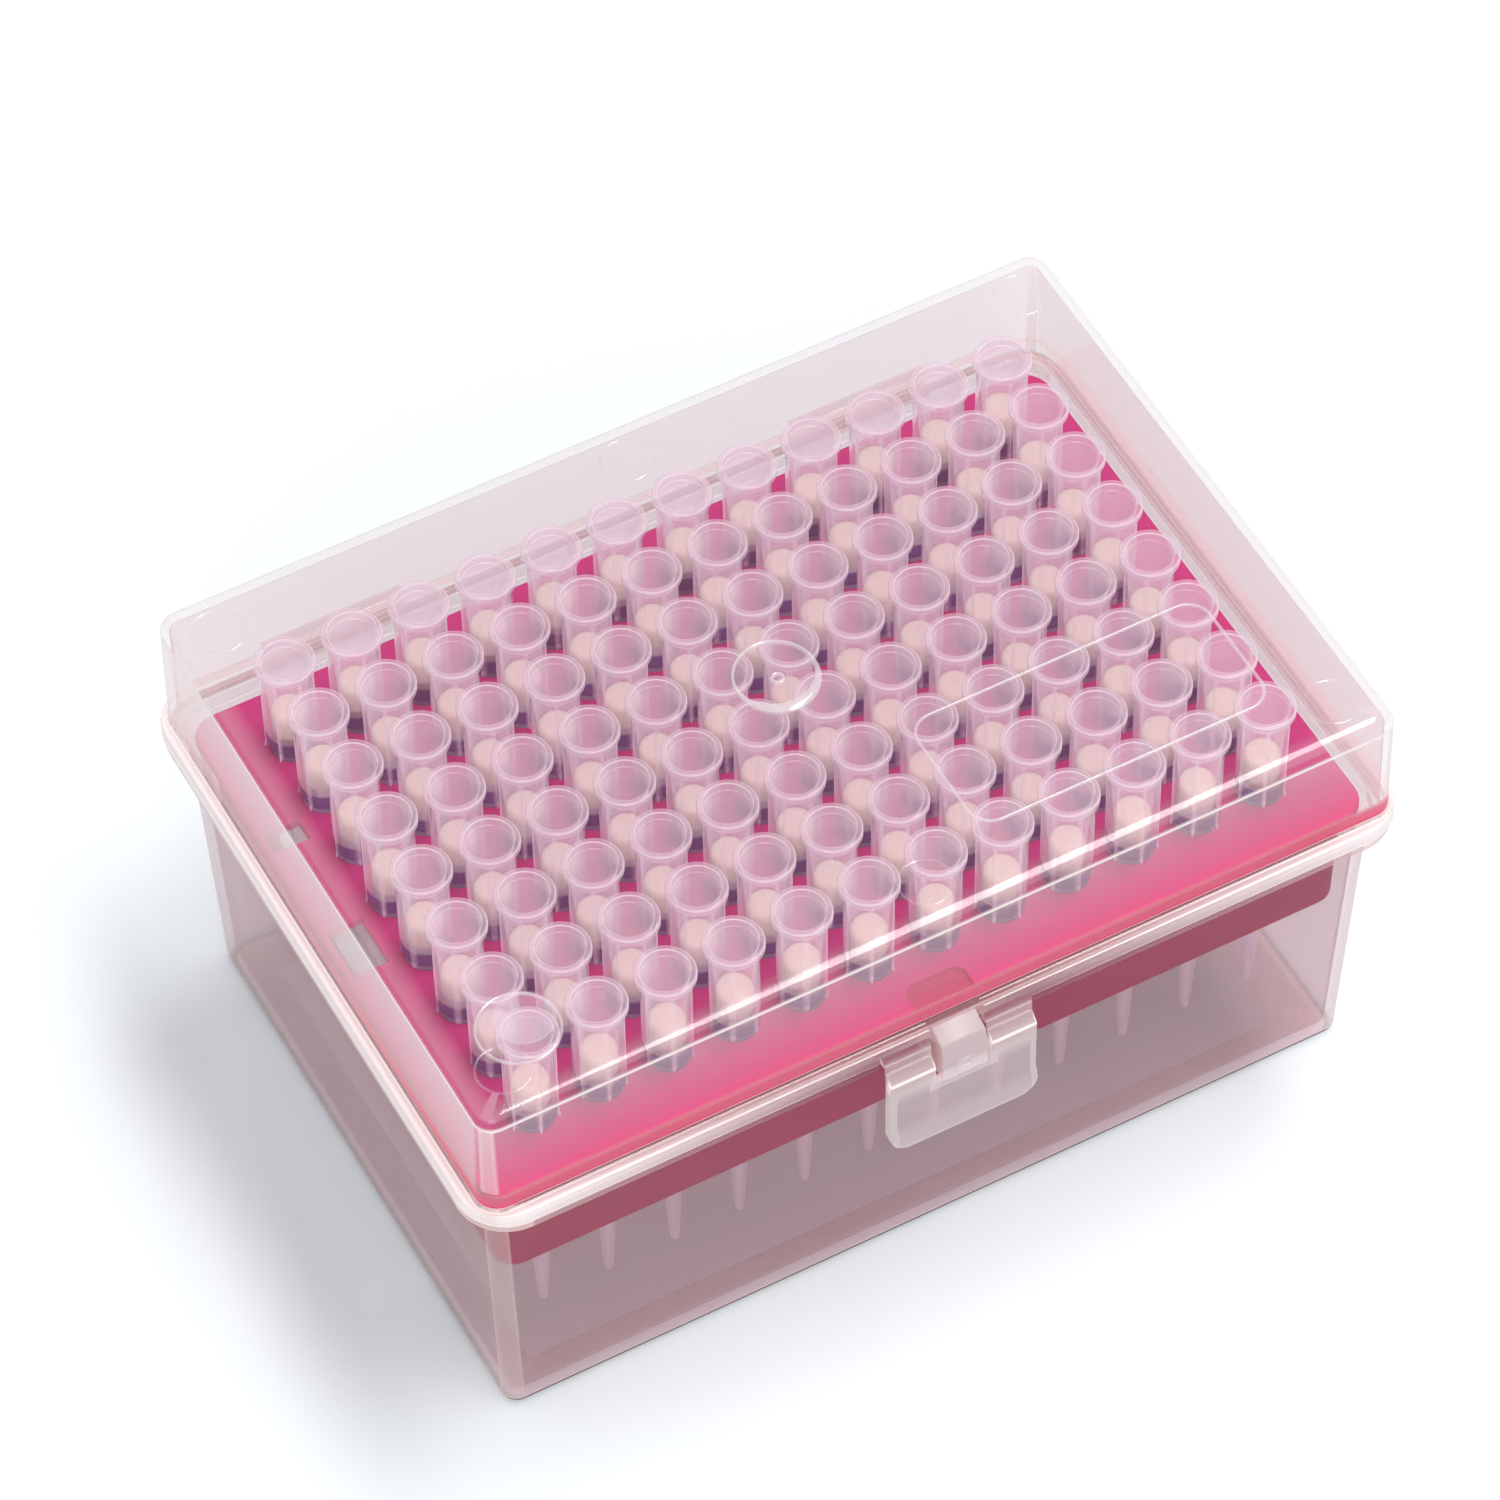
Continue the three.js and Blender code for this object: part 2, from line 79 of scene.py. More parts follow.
# %% Driving sizes
COLUMNS, ROWS = 12, 8
LOOSE_ROWS = "hgfe"
FUSED_ROWS = "dcba"
tip_low, tip_high = box_mm("tip_h1")
next_low, _ = box_mm("tip_h2")
PITCH = next_low[0] - tip_low[0]
FIRST_X = (tip_low[0] + tip_high[0]) / 2
FIRST_Y = (tip_low[1] + tip_high[1]) / 2
POINT_Z, RING_Z = tip_low[2], tip_high[2]

REST_GAP = 0.3
WALL = 1.1
NEAR = 0.05
_, rack_high = box_mm("tip_rack")
PLATE_X, PLATE_Y = rack_high[0], rack_high[1]
PLATE_THICK = 1.2
LEDGE_Z = 44.0
PLATE_UNDER = LEDGE_Z + REST_GAP
PLATE_TOP = PLATE_UNDER + PLATE_THICK

RECESS_X, RECESS_Y = PLATE_X + 0.8, PLATE_Y + 2.0
INSIDE_X, INSIDE_Y = RECESS_X - 1.6, RECESS_Y - 2.5
TRAY_X, TRAY_Y = INSIDE_X + WALL, INSIDE_Y + WALL
LIP_X, LIP_Y = RECESS_X + WALL, RECESS_Y + WALL
RIM_X, RIM_Y = LIP_X + 1.35, LIP_Y + 1.35
LIP_TOP = LEDGE_Z + 1.9
RIM_UNDER = LEDGE_Z - 0.1
RIM_TOP = RIM_UNDER + 1.0
STEP_Z = RIM_UNDER - 1.5
TRAY_DRAFT = 1.5

SKIRT_IN_X, SKIRT_IN_Y = LIP_X + 0.45, LIP_Y + 0.45
SKIRT_X, SKIRT_Y = SKIRT_IN_X + WALL, SKIRT_IN_Y + WALL
HEM_Z = RIM_TOP + REST_GAP
LEDGE_UNDER = LIP_TOP + REST_GAP
LEDGE_TOP = LEDGE_UNDER + 1.1
FOOT_X, FOOT_Y = SKIRT_X - 1.65, SKIRT_Y - 1.65
CEILING_Z = RING_Z + 1.9
LID_TOP = CEILING_Z + WALL
LID_DRAFT = 0.3

joints = {joint["name"]: np.array(joint["pos_m"]) / MM for joint in frame["joints"]}
HINGE_Y, HINGE_Z = joints["lid_hinge"][1:]
FOLD_Y, FOLD_Z = joints["latch_fold"][1:]
print(f"pitch {PITCH:.2f}, plate {2 * PLATE_X:.1f} x {2 * PLATE_Y:.1f}, lid top at {LID_TOP:.1f}")

# %% [markdown]
# ## Camera
# A long lens, well above the box and to its left: that keeps the upright edges nearly parallel. A Track
# To constraint could aim it, but three angles also give its roll, and they make the matrix directly.

# %% Place the camera
CAMERA_PLACE = (-254.98, -479.31, 735.22)
CAMERA_ANGLES = (-27.702, 51.665, -1.103)
CAMERA_LENS = 173.93


def new_object(name, data):
    """A new object of the scene."""
    added = bpy.data.objects.new(name, data)
    bpy.context.scene.collection.objects.link(added)
    return added


def camera_axes(azimuth, elevation, roll):
    """Right, up and back of a camera that looks at azimuth and elevation, turned by roll."""
    a, e, r = np.radians([azimuth, elevation, roll])
    back = np.array([np.sin(a) * np.cos(e), -np.cos(a) * np.cos(e), np.sin(e)])
    right = np.array([np.cos(a), np.sin(a), 0.0])
    up = np.cross(back, right)
    return np.cos(r) * right + np.sin(r) * up, np.cos(r) * up - np.sin(r) * right, back


camera = new_object("camera", bpy.data.cameras.new("camera"))
turn = Matrix(np.array(camera_axes(*CAMERA_ANGLES)).T.tolist())
camera.matrix_world = Matrix.Translation(Vector(CAMERA_PLACE) * MM) @ turn.to_4x4()
camera.data.lens = CAMERA_LENS
camera.data.sensor_width = 36
camera.data.clip_end = 10
bpy.context.scene.camera = camera
print(f"lens {CAMERA_LENS} mm, {math.hypot(*CAMERA_PLACE):.0f} mm from the middle of the box's foot")

# %% [markdown]
# ## Mesh helpers
# Every new surface is a grid of points worked out as one numpy array, closed into a solid. A moulded
# box wall is a rounded rectangle carried along its section, and a tip is a profile spun round an axis.
# Screw and Solidify modifiers could do this too, but a formula puts each ring of points where the shape
# needs it, and it can say at the same time how thick the plastic looks there.

# %% From arrays to a mesh
SMOOTH_UNDER = math.radians(32)


def mesh_object(name, points, faces):
    """A new object from an (n, 3) array of points in millimetres and a list of faces."""
    mesh = bpy.data.meshes.new(name)
    mesh.from_pydata((np.asarray(points) * MM).tolist(), [], faces)
    mesh.update()
    return new_object(name, mesh)


def smooth(piece):
    """Smooth shading, with a sharp line where two faces meet at a real edge."""
    mesh = piece.data
    mesh.polygons.foreach_set("use_smooth", np.ones(len(mesh.polygons), bool))
    mesh.set_sharp_from_angle(angle=SMOOTH_UNDER)
    return piece


def strip_faces(rings, count, closed=False):
    """Quads between rings of count points each, and from the last ring to the first if closed."""
    level = np.arange(rings if closed else rings - 1)[:, None]
    spot = np.arange(count)[None, :]
    beside = (spot + 1) % count
    above = (level + 1) % rings
    corners = [level * count + spot, level * count + beside, above * count + beside, above * count + spot]
    return np.stack(corners, axis=-1).reshape(-1, 4)


def capped_faces(rings, count):
    """Quads between rings of count points, and a flat cap on the first and on the last ring."""
    faces = strip_faces(rings, count).tolist()
    faces.append(list(range(count))[::-1])
    faces.append(list(range((rings - 1) * count, rings * count)))
    return faces


def gathered(items, name):
    """The (n, 3) array, in millimetres, of one vector of each item, such as the co of each vertex."""
    values = np.zeros(len(items) * 3, np.float32)
    items.foreach_get(name, values)
    return values.reshape(-1, 3) / MM


def points_mm(piece):
    """The (n, 3) array of a piece's points in millimetres."""
    return gathered(piece.data.vertices, "co")


def face_centres(piece):
    """Three arrays: the x, the y and the z of a piece's face centres in millimetres."""
    return gathered(piece.data.polygons, "center").T


# %% Sections with soft corners
CORNER_STEPS = 10
CORNER_LINE = 0.25
THICK_ROW = 5.0
HOLD = 0.25
LINE_FALL = 8
QUARTER_TURN = math.pi / 2


def soften(points, reaches, edges, steps=4):
    """Rounds the corners of a section with parabolas.

    A row is (half x, half y, corner radius, z, thickness). Each inner point P with reach r gives way to
    the curve (1-t)(1-t)A + 2t(1-t)P + ttC, where A and C lie r before and r after it. A pair (a, b) in
    edges adds a(1-t)^8 + bt^8 to the thickness, which paints a pale line of light at either end of the
    curve. A holding row outside each end keeps the flat faces flat in shading.
    """
    points = np.asarray(points, float)
    step = np.diff(points, axis=0)
    along = step / np.maximum(np.hypot(step[:, 0], step[:, 3]), 1e-6)[:, None]
    reach = np.asarray(reaches, float)[:, None]
    middle = points[1:-1]
    before = middle - along[:-1] * reach
    after = middle + along[1:] * reach
    t = np.linspace(0, 1, steps + 1)[None, :, None]
    curve = (1 - t) ** 2 * before[:, None] + 2 * t * (1 - t) * middle[:, None] + t**2 * after[:, None]
    first, last = np.asarray(edges, float).T[:, :, None]
    curve[:, :, 4] += first * (1 - t[0, :, 0]) ** LINE_FALL + last * t[0, :, 0] ** LINE_FALL
    hold = np.minimum(HOLD, 0.4 * reach)
    lead = (before - along[:-1] * hold)[:, None]
    tail = (after + along[1:] * hold)[:, None]
    inner = np.concatenate([lead, curve, tail], axis=1).reshape(-1, points.shape[1])
    return np.concatenate([points[:1], inner, points[-1:]])


def rounded_rectangles(section, corner_thickness=0.0, corner_band=(0.0, 1.0)):
    """Points and thickness, (rings, count, 4), of one rounded rectangle for each row of a section.

    Within the band of each quarter turn a row gets corner_thickness more, and CORNER_LINE times more at the
    band's ends, which paints a pale line of light there, where it has some thickness but less than
    THICK_ROW.
    """
    half_x, half_y, radius, z, thick = (c[:, None, None] for c in np.asarray(section, float).T)
    sign_x = np.array([1, -1, -1, 1])[None, :, None]
    sign_y = np.array([1, 1, -1, -1])[None, :, None]
    share = np.concatenate([[0], np.linspace(0, 1, CORNER_STEPS + 1), [1]])[None, None, :]
    slide = np.concatenate([[-HOLD], np.zeros(CORNER_STEPS + 1), [HOLD]])[None, None, :]
    angle = (np.arange(4)[None, :, None] + share) * QUARTER_TURN
    x = sign_x * (half_x - radius) + radius * np.cos(angle) - slide * np.sin(angle)
    y = sign_y * (half_y - radius) + radius * np.sin(angle) + slide * np.cos(angle)
    first, last = corner_band
    ends = np.isclose(share, first) | np.isclose(share, last)
    inside = (share > first - 0.01) & (share < last + 0.01) & (np.abs(slide) == 0)
    corner = inside * (1 + CORNER_LINE * ends)
    thin_row = (thick > 0) & (thick < THICK_ROW)
    thick = thick + corner_thickness * thin_row * corner + 0 * x
    return np.stack([x, y, z + 0 * x, thick], axis=-1).reshape(len(section), -1, 4)


def moulded_shell(name, section, corner_thickness=0.0, corner_band=(0.0, 1.0)):
    """A closed wall from a section, with a flat cap at each end, and the thickness at its points."""
    points = rounded_rectangles(section, corner_thickness, corner_band)
    piece = mesh_object(name, points[..., :3].reshape(-1, 3), capped_faces(*points.shape[:2]))
    return piece, points[..., 3].ravel()


def spun(name, profile, place, sides, loop=True, bulge=None):
    """A solid of revolution: (radius, z) points spun round an upright axis at place.

    A loop of points closes on itself, as a tube's wall does, and an open row gets a flat cap at each end.
    bulge, if given, is the extra radius and the extra height of each point.
    """
    profile = np.asarray(profile, float)
    angle = np.linspace(0, 2 * math.pi, sides, endpoint=False)
    radius = profile[:, 0][:, None] + 0 * angle[None, :]
    z = profile[:, 1][:, None] + 0 * angle[None, :]
    if bulge is not None:
        radius, z = radius + bulge[0], z + bulge[1]
    x = place[0] + radius * np.cos(angle)
    y = place[1] + radius * np.sin(angle)
    points = np.stack([x, y, z], axis=-1).reshape(-1, 3)
    rings = len(profile)
    faces = strip_faces(rings, sides, closed=True).tolist() if loop else capped_faces(rings, sides)
    return mesh_object(name, points, faces)


# %% [markdown]
# ## Cutting and joining
# The lid has a gap for the catch, and the flange a notch for the flap. They could be worked into the
# grids, which would then lose their simple order. A Boolean modifier makes each cut exactly instead, and
# its result is stored in the mesh, so that nothing live is left on the piece.

# %% Cuts and joins stored in the mesh
def store_modifiers(piece):
    """Replaces a piece's mesh by what its modifiers make of it, and removes the modifiers."""
    evaluated = piece.evaluated_get(bpy.context.evaluated_depsgraph_get())
    result = bpy.data.meshes.new_from_object(evaluated)
    piece.modifiers.clear()
    old = piece.data
    piece.data = result
    bpy.data.meshes.remove(old)
    return piece


def apply_boolean(piece, other, operation):
    """Cuts other from piece, or joins it on, and removes other."""
    modifier = piece.modifiers.new("step", "BOOLEAN")
    modifier.operation = operation
    modifier.object = other
    modifier.solver = "EXACT"
    store_modifiers(piece)
    bpy.data.meshes.remove(other.data)
    return piece


def bevelled(piece, width, segments=3, angle=30):
    """Rounds the edges of a piece that turn by more than angle, in degrees."""
    modifier = piece.modifiers.new("edges", "BEVEL")
    modifier.width = width * MM
    modifier.segments = segments
    modifier.limit_method = "ANGLE"
    modifier.angle_limit = math.radians(angle)
    return store_modifiers(piece)


def block(low, high):
    """A plain block between two corners, used only as a cutter or to be joined on."""
    low, high = np.asarray(low, float), np.asarray(high, float)
    unit = np.array([[x, y, z] for z in (0, 1) for x, y in ((0, 0), (1, 0), (1, 1), (0, 1))])
    faces = [[3, 2, 1, 0], [4, 5, 6, 7], *strip_faces(2, 4).tolist()]
    return mesh_object("block", low + unit * (high - low), faces)


def carried(name, outline, low_x, high_x):
    """A side profile of (y, z) points carried along x."""
    ends = [np.column_stack([np.full(len(outline), x), outline]) for x in (low_x, high_x)]
    return mesh_object(name, np.concatenate(ends), capped_faces(2, len(outline)))


# %% [markdown]
# ## Polypropylene
# Natural polypropylene is a milky plastic: crystals in it scatter light, so a thin wall is almost clear
# and a thick or slanted one turns whitish. A glass surface round a cloudy volume could show that, but so
# many walls behind one another would make it slow and grainy. Here a surface lets a share of the light
# straight through, and scatters the rest. The share that it scatters grows where the wall is seen at a
# slant, because the line of sight then runs through more of it. A thin gloss from an IOR of 1.49 lies
# over both.

# %% Node helper
MIX_A, MIX_B, MIX_COLOUR = 6, 7, 2


def linear(hex_colour):
    """An sRGB hex colour as linear red, green, blue and alpha."""
    parts = np.array([int(hex_colour[k : k + 2], 16) for k in (1, 3, 5)]) / 255
    values = np.where(parts <= 0.04045, parts / 12.92, ((parts + 0.055) / 1.055) ** 2.4)
    return (*values.tolist(), 1.0)


def add_node(tree, kind, inputs=(), **settings):
    """Adds a node, sets its properties, and sets or links its inputs: (socket, value or output)."""
    node = tree.nodes.new(kind)
    for name, value in settings.items():
        setattr(node, name, value)
    for socket, value in dict(inputs).items():
        if isinstance(value, bpy.types.NodeSocket):
            tree.links.new(value, node.inputs[socket])
        else:
            node.inputs[socket].default_value = value
    return node


def new_material(name):
    """An empty node material and its output."""
    material = bpy.data.materials.new(name)
    material.use_nodes = True
    material.node_tree.nodes.clear()
    return material, material.node_tree, material.node_tree.nodes.new("ShaderNodeOutputMaterial")


def coat(piece, *materials):
    """Gives a piece its materials, in slot order."""
    piece.data.materials.clear()
    for material in materials:
        piece.data.materials.append(material)
    return piece


# %% Milky plastic
POLYPROPYLENE_IOR = 1.49
HAZE_POWER, GLOSS_POWER = 6.0, 5.0
HAZE_PER_THICK = 0.1
KEYS_PER_MM = 500
ONWARD_THIN, ONWARD_PER_THICK = 0.45, 0.025
ONE_FACE = ((POLYPROPYLENE_IOR - 1) / (POLYPROPYLENE_IOR + 1)) ** 2
BOTH_FACES = 2 * ONE_FACE / (1 + ONE_FACE)


def natural_polypropylene(name, clear, milk, haze, veil, gloss, deep="#ffffff", roughness=0.12):
    """Moulded natural polypropylene: smooth, see-through, milky where it is thick or seen at a slant.

    haze is (h, k): the share of light that is scattered is h + k * f^6 + thick / 10, where f is 0 face on
    and 1 at a grazing angle, and 0.45 - 0.025 * thick of that goes on through the wall. gloss is (m, g):
    the share that is mirrored is m + g * f^5. thick and deep are attributes of the mesh. thick is how much
    more plastic the sight line crosses, and in places it is raised to paint pale lines of light and
    highlights. deep is how much of the colour deep a point takes on: painted shade, and the painted glow
    of the rack's colour. A ray is treated where it enters a wall and passes freely where it leaves.
    Shadow rays are dimmed by veil alone.
    """
    material, tree, output = new_material(name)
    facing = add_node(tree, "ShaderNodeLayerWeight", {"Blend": 0.5}).outputs["Facing"]
    slant = add_node(tree, "ShaderNodeMath", {0: facing, 1: HAZE_POWER}, operation="POWER").outputs[0]
    haze_sum = {0: slant, 1: haze[1], 2: haze[0]}
    plain = add_node(tree, "ShaderNodeMath", haze_sum, operation="MULTIPLY_ADD").outputs[0]
    thick = add_node(tree, "ShaderNodeAttribute", attribute_name="thick").outputs["Fac"]
    thick_sum = {0: thick, 1: HAZE_PER_THICK, 2: plain}
    share = add_node(tree, "ShaderNodeMath", thick_sum, operation="MULTIPLY_ADD", use_clamp=True).outputs[0]
    depth = add_node(tree, "ShaderNodeAttribute", attribute_name="deep").outputs["Fac"]
    tints = {0: depth, MIX_A: linear(clear), MIX_B: linear(deep)}
    tint = add_node(tree, "ShaderNodeMix", tints, data_type="RGBA").outputs[MIX_COLOUR]
    clouds = {0: depth, MIX_A: linear(milk), MIX_B: linear(deep)}
    cloud = add_node(tree, "ShaderNodeMix", clouds, data_type="RGBA").outputs[MIX_COLOUR]
    through = add_node(tree, "ShaderNodeBsdfTransparent", {"Color": tint}).outputs[0]
    lit = add_node(tree, "ShaderNodeBsdfDiffuse", {"Color": cloud}).outputs[0]
    glow = add_node(tree, "ShaderNodeBsdfTranslucent", {"Color": cloud}).outputs[0]
    on_sum = {0: thick, 1: -ONWARD_PER_THICK, 2: ONWARD_THIN}
    onward = add_node(tree, "ShaderNodeMath", on_sum, operation="MULTIPLY_ADD", use_clamp=True).outputs[0]
    scattered = add_node(tree, "ShaderNodeMixShader", {0: onward, 1: lit, 2: glow}).outputs[0]
    body = add_node(tree, "ShaderNodeMixShader", {0: share, 1: through, 2: scattered}).outputs[0]
    skin = {"Color": linear("#ffffff"), "Roughness": roughness}
    shine = add_node(tree, "ShaderNodeBsdfGlossy", skin).outputs[0]
    grazing = add_node(tree, "ShaderNodeMath", {0: facing, 1: GLOSS_POWER}, operation="POWER").outputs[0]
    gloss_sum = {0: grazing, 1: gloss[1], 2: gloss[0]}
    mirror = add_node(tree, "ShaderNodeMath", gloss_sum, operation="MULTIPLY_ADD").outputs[0]
    surface = add_node(tree, "ShaderNodeMixShader", {0: mirror, 1: body, 2: shine}).outputs[0]
    thinned = add_node(tree, "ShaderNodeBsdfTransparent", {"Color": linear(veil)}).outputs[0]
    in_shadow = add_node(tree, "ShaderNodeLightPath").outputs["Is Shadow Ray"]
    entering = add_node(tree, "ShaderNodeMixShader", {0: in_shadow, 1: surface, 2: thinned}).outputs[0]
    leaves = add_node(tree, "ShaderNodeNewGeometry").outputs["Backfacing"]
    free = add_node(tree, "ShaderNodeBsdfTransparent").outputs[0]
    whole = add_node(tree, "ShaderNodeMixShader", {0: leaves, 1: entering, 2: free}).outputs[0]
    tree.links.new(whole, output.inputs["Surface"])
    return material


print(f"one face of the plastic mirrors {ONE_FACE:.3f} of the light, a wall's two faces {BOTH_FACES:.3f}")


# %% Shares stored on a mesh
def set_shares(piece, **shares):
    """Stores one number a point as an attribute of the mesh, such as thick or deep."""
    for name, values in shares.items():
        layer = piece.data.attributes.new(name, "FLOAT", "POINT")
        layer.data.foreach_set("value", np.asarray(values, np.float32).ravel())
    return piece


def place_keys(points):
    """One whole number for each point, the same for points less than about 0.002 mm apart."""
    return np.round(points * KEYS_PER_MM).astype(np.int64) @ np.array([1, 1 << 20, 1 << 40])


def kept_shares(piece, old_points, old_values):
    """Values at a piece's points after cuts: the old value where an old point still stands, else 0."""
    order = np.argsort(place_keys(old_points))
    old_keys = place_keys(old_points)[order]
    new_keys = place_keys(points_mm(piece))
    spot = np.clip(np.searchsorted(old_keys, new_keys), 0, len(old_keys) - 1)
    return np.where(old_keys[spot] == new_keys, old_values[order][spot], 0.0)


# %% The box's own plastics
# Its deep colour is the rack's magenta, painted as a glow in the foot of the walls.
lid_plastic = natural_polypropylene(
    "clear polypropylene lid",
    clear="#f9f3f3", milk="#f4e6e2", veil="#fcfafa", deep="#e61468",
    haze=(0.02, 2.5), gloss=(0.62 * BOTH_FACES, 0.4),
)
ledge_plastic = natural_polypropylene(
    "thick polypropylene ledge",
    clear="#f9f3f3", milk="#f8eeec", veil="#fcfafa",
    haze=(0.05, 1.0), gloss=(0.75 * BOTH_FACES, 0.4), roughness=0.2,
)
# The tray's see-through tint is darker and pinker than the plastic: painted shade and the rack's pink light
# inside the tray. Its deep colour is the painted shadow at the foot.
tray_plastic = natural_polypropylene(
    "milky polypropylene tray",
    clear="#e8dadc", milk="#eed8d4", veil="#f0e6e8", deep="#40181f",
    haze=(0.03, 1.0), gloss=(0.6 * ONE_FACE, 0.3),
)
# Its deep colour is the purple shade painted in a band below the filter.
tip_plastic = natural_polypropylene(
    "natural polypropylene tip",
    clear="#fdf8ff", milk="#fff2fc", veil="#fefcfe", deep="#a05cb4",
    haze=(0.28, 1.6), gloss=(ONE_FACE, 0.8),
)
latch_plastic = natural_polypropylene(
    "thick polypropylene flap",
    clear="#fbf4f9", milk="#fdf7f2", veil="#f4ecee",
    haze=(0.32, 1.6), gloss=(ONE_FACE, 0.8),
)
catch_plastic = natural_polypropylene(
    "thick polypropylene catch",
    clear="#f4eef0", milk="#eae2e2", veil="#f4ecee",
    haze=(0.1, 1.0), gloss=(ONE_FACE, 0.4), roughness=0.35,
)

print("materials so far, with those of the CAD model:", len(bpy.data.materials))

# %% [markdown]
# ## Coloured plastic and the filter
# The rack is the same plastic with a strong magenta pigment. Its mould is spark-eroded, which leaves the
# skin satin. One even colour would do, but a slow drift of the pigment and a brighter front margin keep
# the large plate from looking flat. The eroded grain is a few hundredths of a millimetre wide, too fine to
# show, so it is drawn 0.4 mm wide. The filter is sintered polyethylene: grains fused at their contacts,
# matt and cream. Its grains could be small balls, but a cell pattern on a smooth plug looks the same here.

# %% Rack and filter materials
SKIN_GRAIN, SKIN_RELIEF = 0.4, 0.2
FILTER_GRAIN, FILTER_RELIEF = 0.12, 0.1
DRIFT_WIDTH = 28.6
EDGE_MARGIN = 6.0
FILTER_ONWARD, RACK_ONWARD = 0.35, 0.36


def pigmented_polypropylene(name, colour, deep, edge, through):
    """Magenta polypropylene: a satin skin, slow differences in pigment, and a little light let through.

    The front margin turns to the colour edge, over 6 mm, where light comes in from the side.
    """
    material, tree, output = new_material(name)
    place = add_node(tree, "ShaderNodeTexCoord").outputs["Object"]
    pigment = {"Vector": place, "Scale": 1 / (DRIFT_WIDTH * MM), "Detail": 3.0}
    drift = add_node(tree, "ShaderNodeTexNoise", pigment).outputs["Fac"]
    shades = {0: drift, MIX_A: linear(colour), MIX_B: linear(deep)}
    base = add_node(tree, "ShaderNodeMix", shades, data_type="RGBA").outputs[MIX_COLOUR]
    axes = add_node(tree, "ShaderNodeSeparateXYZ", {0: place})
    span = {0: axes.outputs["Y"], 1: (EDGE_MARGIN - PLATE_Y) * MM, 2: -PLATE_Y * MM, 3: 0.0, 4: 1.0}
    margin = add_node(tree, "ShaderNodeMapRange", span).outputs[0]
    edged = {0: margin, MIX_A: base, MIX_B: linear(edge)}
    tone = add_node(tree, "ShaderNodeMix", edged, data_type="RGBA").outputs[MIX_COLOUR]
    skin = add_node(tree, "ShaderNodeTexNoise", {"Vector": place, "Scale": 1 / (SKIN_GRAIN * MM)})
    relief = {"Height": skin.outputs["Fac"], "Strength": 0.12, "Distance": SKIN_RELIEF * MM}
    satin = {
        "Base Color": tone,
        "Roughness": 0.45,
        "Specular IOR Level": 0.25,
        "IOR": POLYPROPYLENE_IOR,
        "Normal": add_node(tree, "ShaderNodeBump", relief).outputs["Normal"],
    }
    lit = add_node(tree, "ShaderNodeBsdfPrincipled", satin).outputs[0]
    glow = add_node(tree, "ShaderNodeBsdfTranslucent", {"Color": linear(through)}).outputs[0]
    surface = add_node(tree, "ShaderNodeMixShader", {0: RACK_ONWARD, 1: lit, 2: glow}).outputs[0]
    tree.links.new(surface, output.inputs["Surface"])
    return material


def sintered_filter(name, colour, shade):
    """Porous polyethylene: round grains a tenth of a millimetre wide, drawn as a fine cell pattern."""
    material, tree, output = new_material(name)
    place = add_node(tree, "ShaderNodeTexCoord").outputs["Object"]
    grains = add_node(tree, "ShaderNodeTexVoronoi", {"Vector": place, "Scale": 1 / (FILTER_GRAIN * MM)})
    shades = {0: grains.outputs["Distance"], MIX_A: linear(colour), MIX_B: linear(shade)}
    tone = add_node(tree, "ShaderNodeMix", shades, data_type="RGBA").outputs[MIX_COLOUR]
    relief = {"Height": grains.outputs["Distance"], "Strength": 0.25, "Distance": FILTER_RELIEF * MM}
    bump = add_node(tree, "ShaderNodeBump", relief).outputs["Normal"]
    matt = {"Base Color": tone, "Roughness": 0.85, "Normal": bump}
    lit = add_node(tree, "ShaderNodeBsdfPrincipled", matt).outputs[0]
    glow = add_node(tree, "ShaderNodeBsdfTranslucent", {"Color": linear(colour)}).outputs[0]
    surface = add_node(tree, "ShaderNodeMixShader", {0: FILTER_ONWARD, 1: lit, 2: glow}).outputs[0]
    tree.links.new(surface, output.inputs["Surface"])
    return material


rack_plastic = pigmented_polypropylene(
    "magenta polypropylene rack", "#e42c94", "#d42488", "#f22e88", "#ff5ca0"
)
# The notch floor is darker: partly the thin plate there, and partly painted shade in the recess.
shaded_notch_plastic = pigmented_polypropylene(
    "magenta polypropylene, thin notch floor in painted shade", "#d02c78", "#c82872", "#d83070", "#ff5ca0"
)
skirt_plastic = pigmented_polypropylene(
    "magenta polypropylene, shaded skirt", "#c02468", "#b42060", "#c02468", "#e84c90"
)
filter_plastic = sintered_filter("sintered polyethylene filter", "#fffaec", "#fff0d4")
print("materials with the coloured plastics and the filter:", len(bpy.data.materials))

# %% [markdown]
# ## The tips
# A tip is a hollow taper. Its collar carries six thin ribs that end in small feet on the rack, and a ring
# stiffens its mouth. The ribs could be fins joined on, but six exact joins for each of ninety-six tips
# are slow. So the outer and the inner wall are one closed profile, and the ribs are a bulge of that
# profile at six angles. Each tip is turned at random as it was dropped in.

# %% Profile of a tip
TIP_SIDES = 48
RIBS = 6
RIB_HEIGHT = 0.25
RIB_FOOT, FOOT_SPREAD = 0.75, 0.2
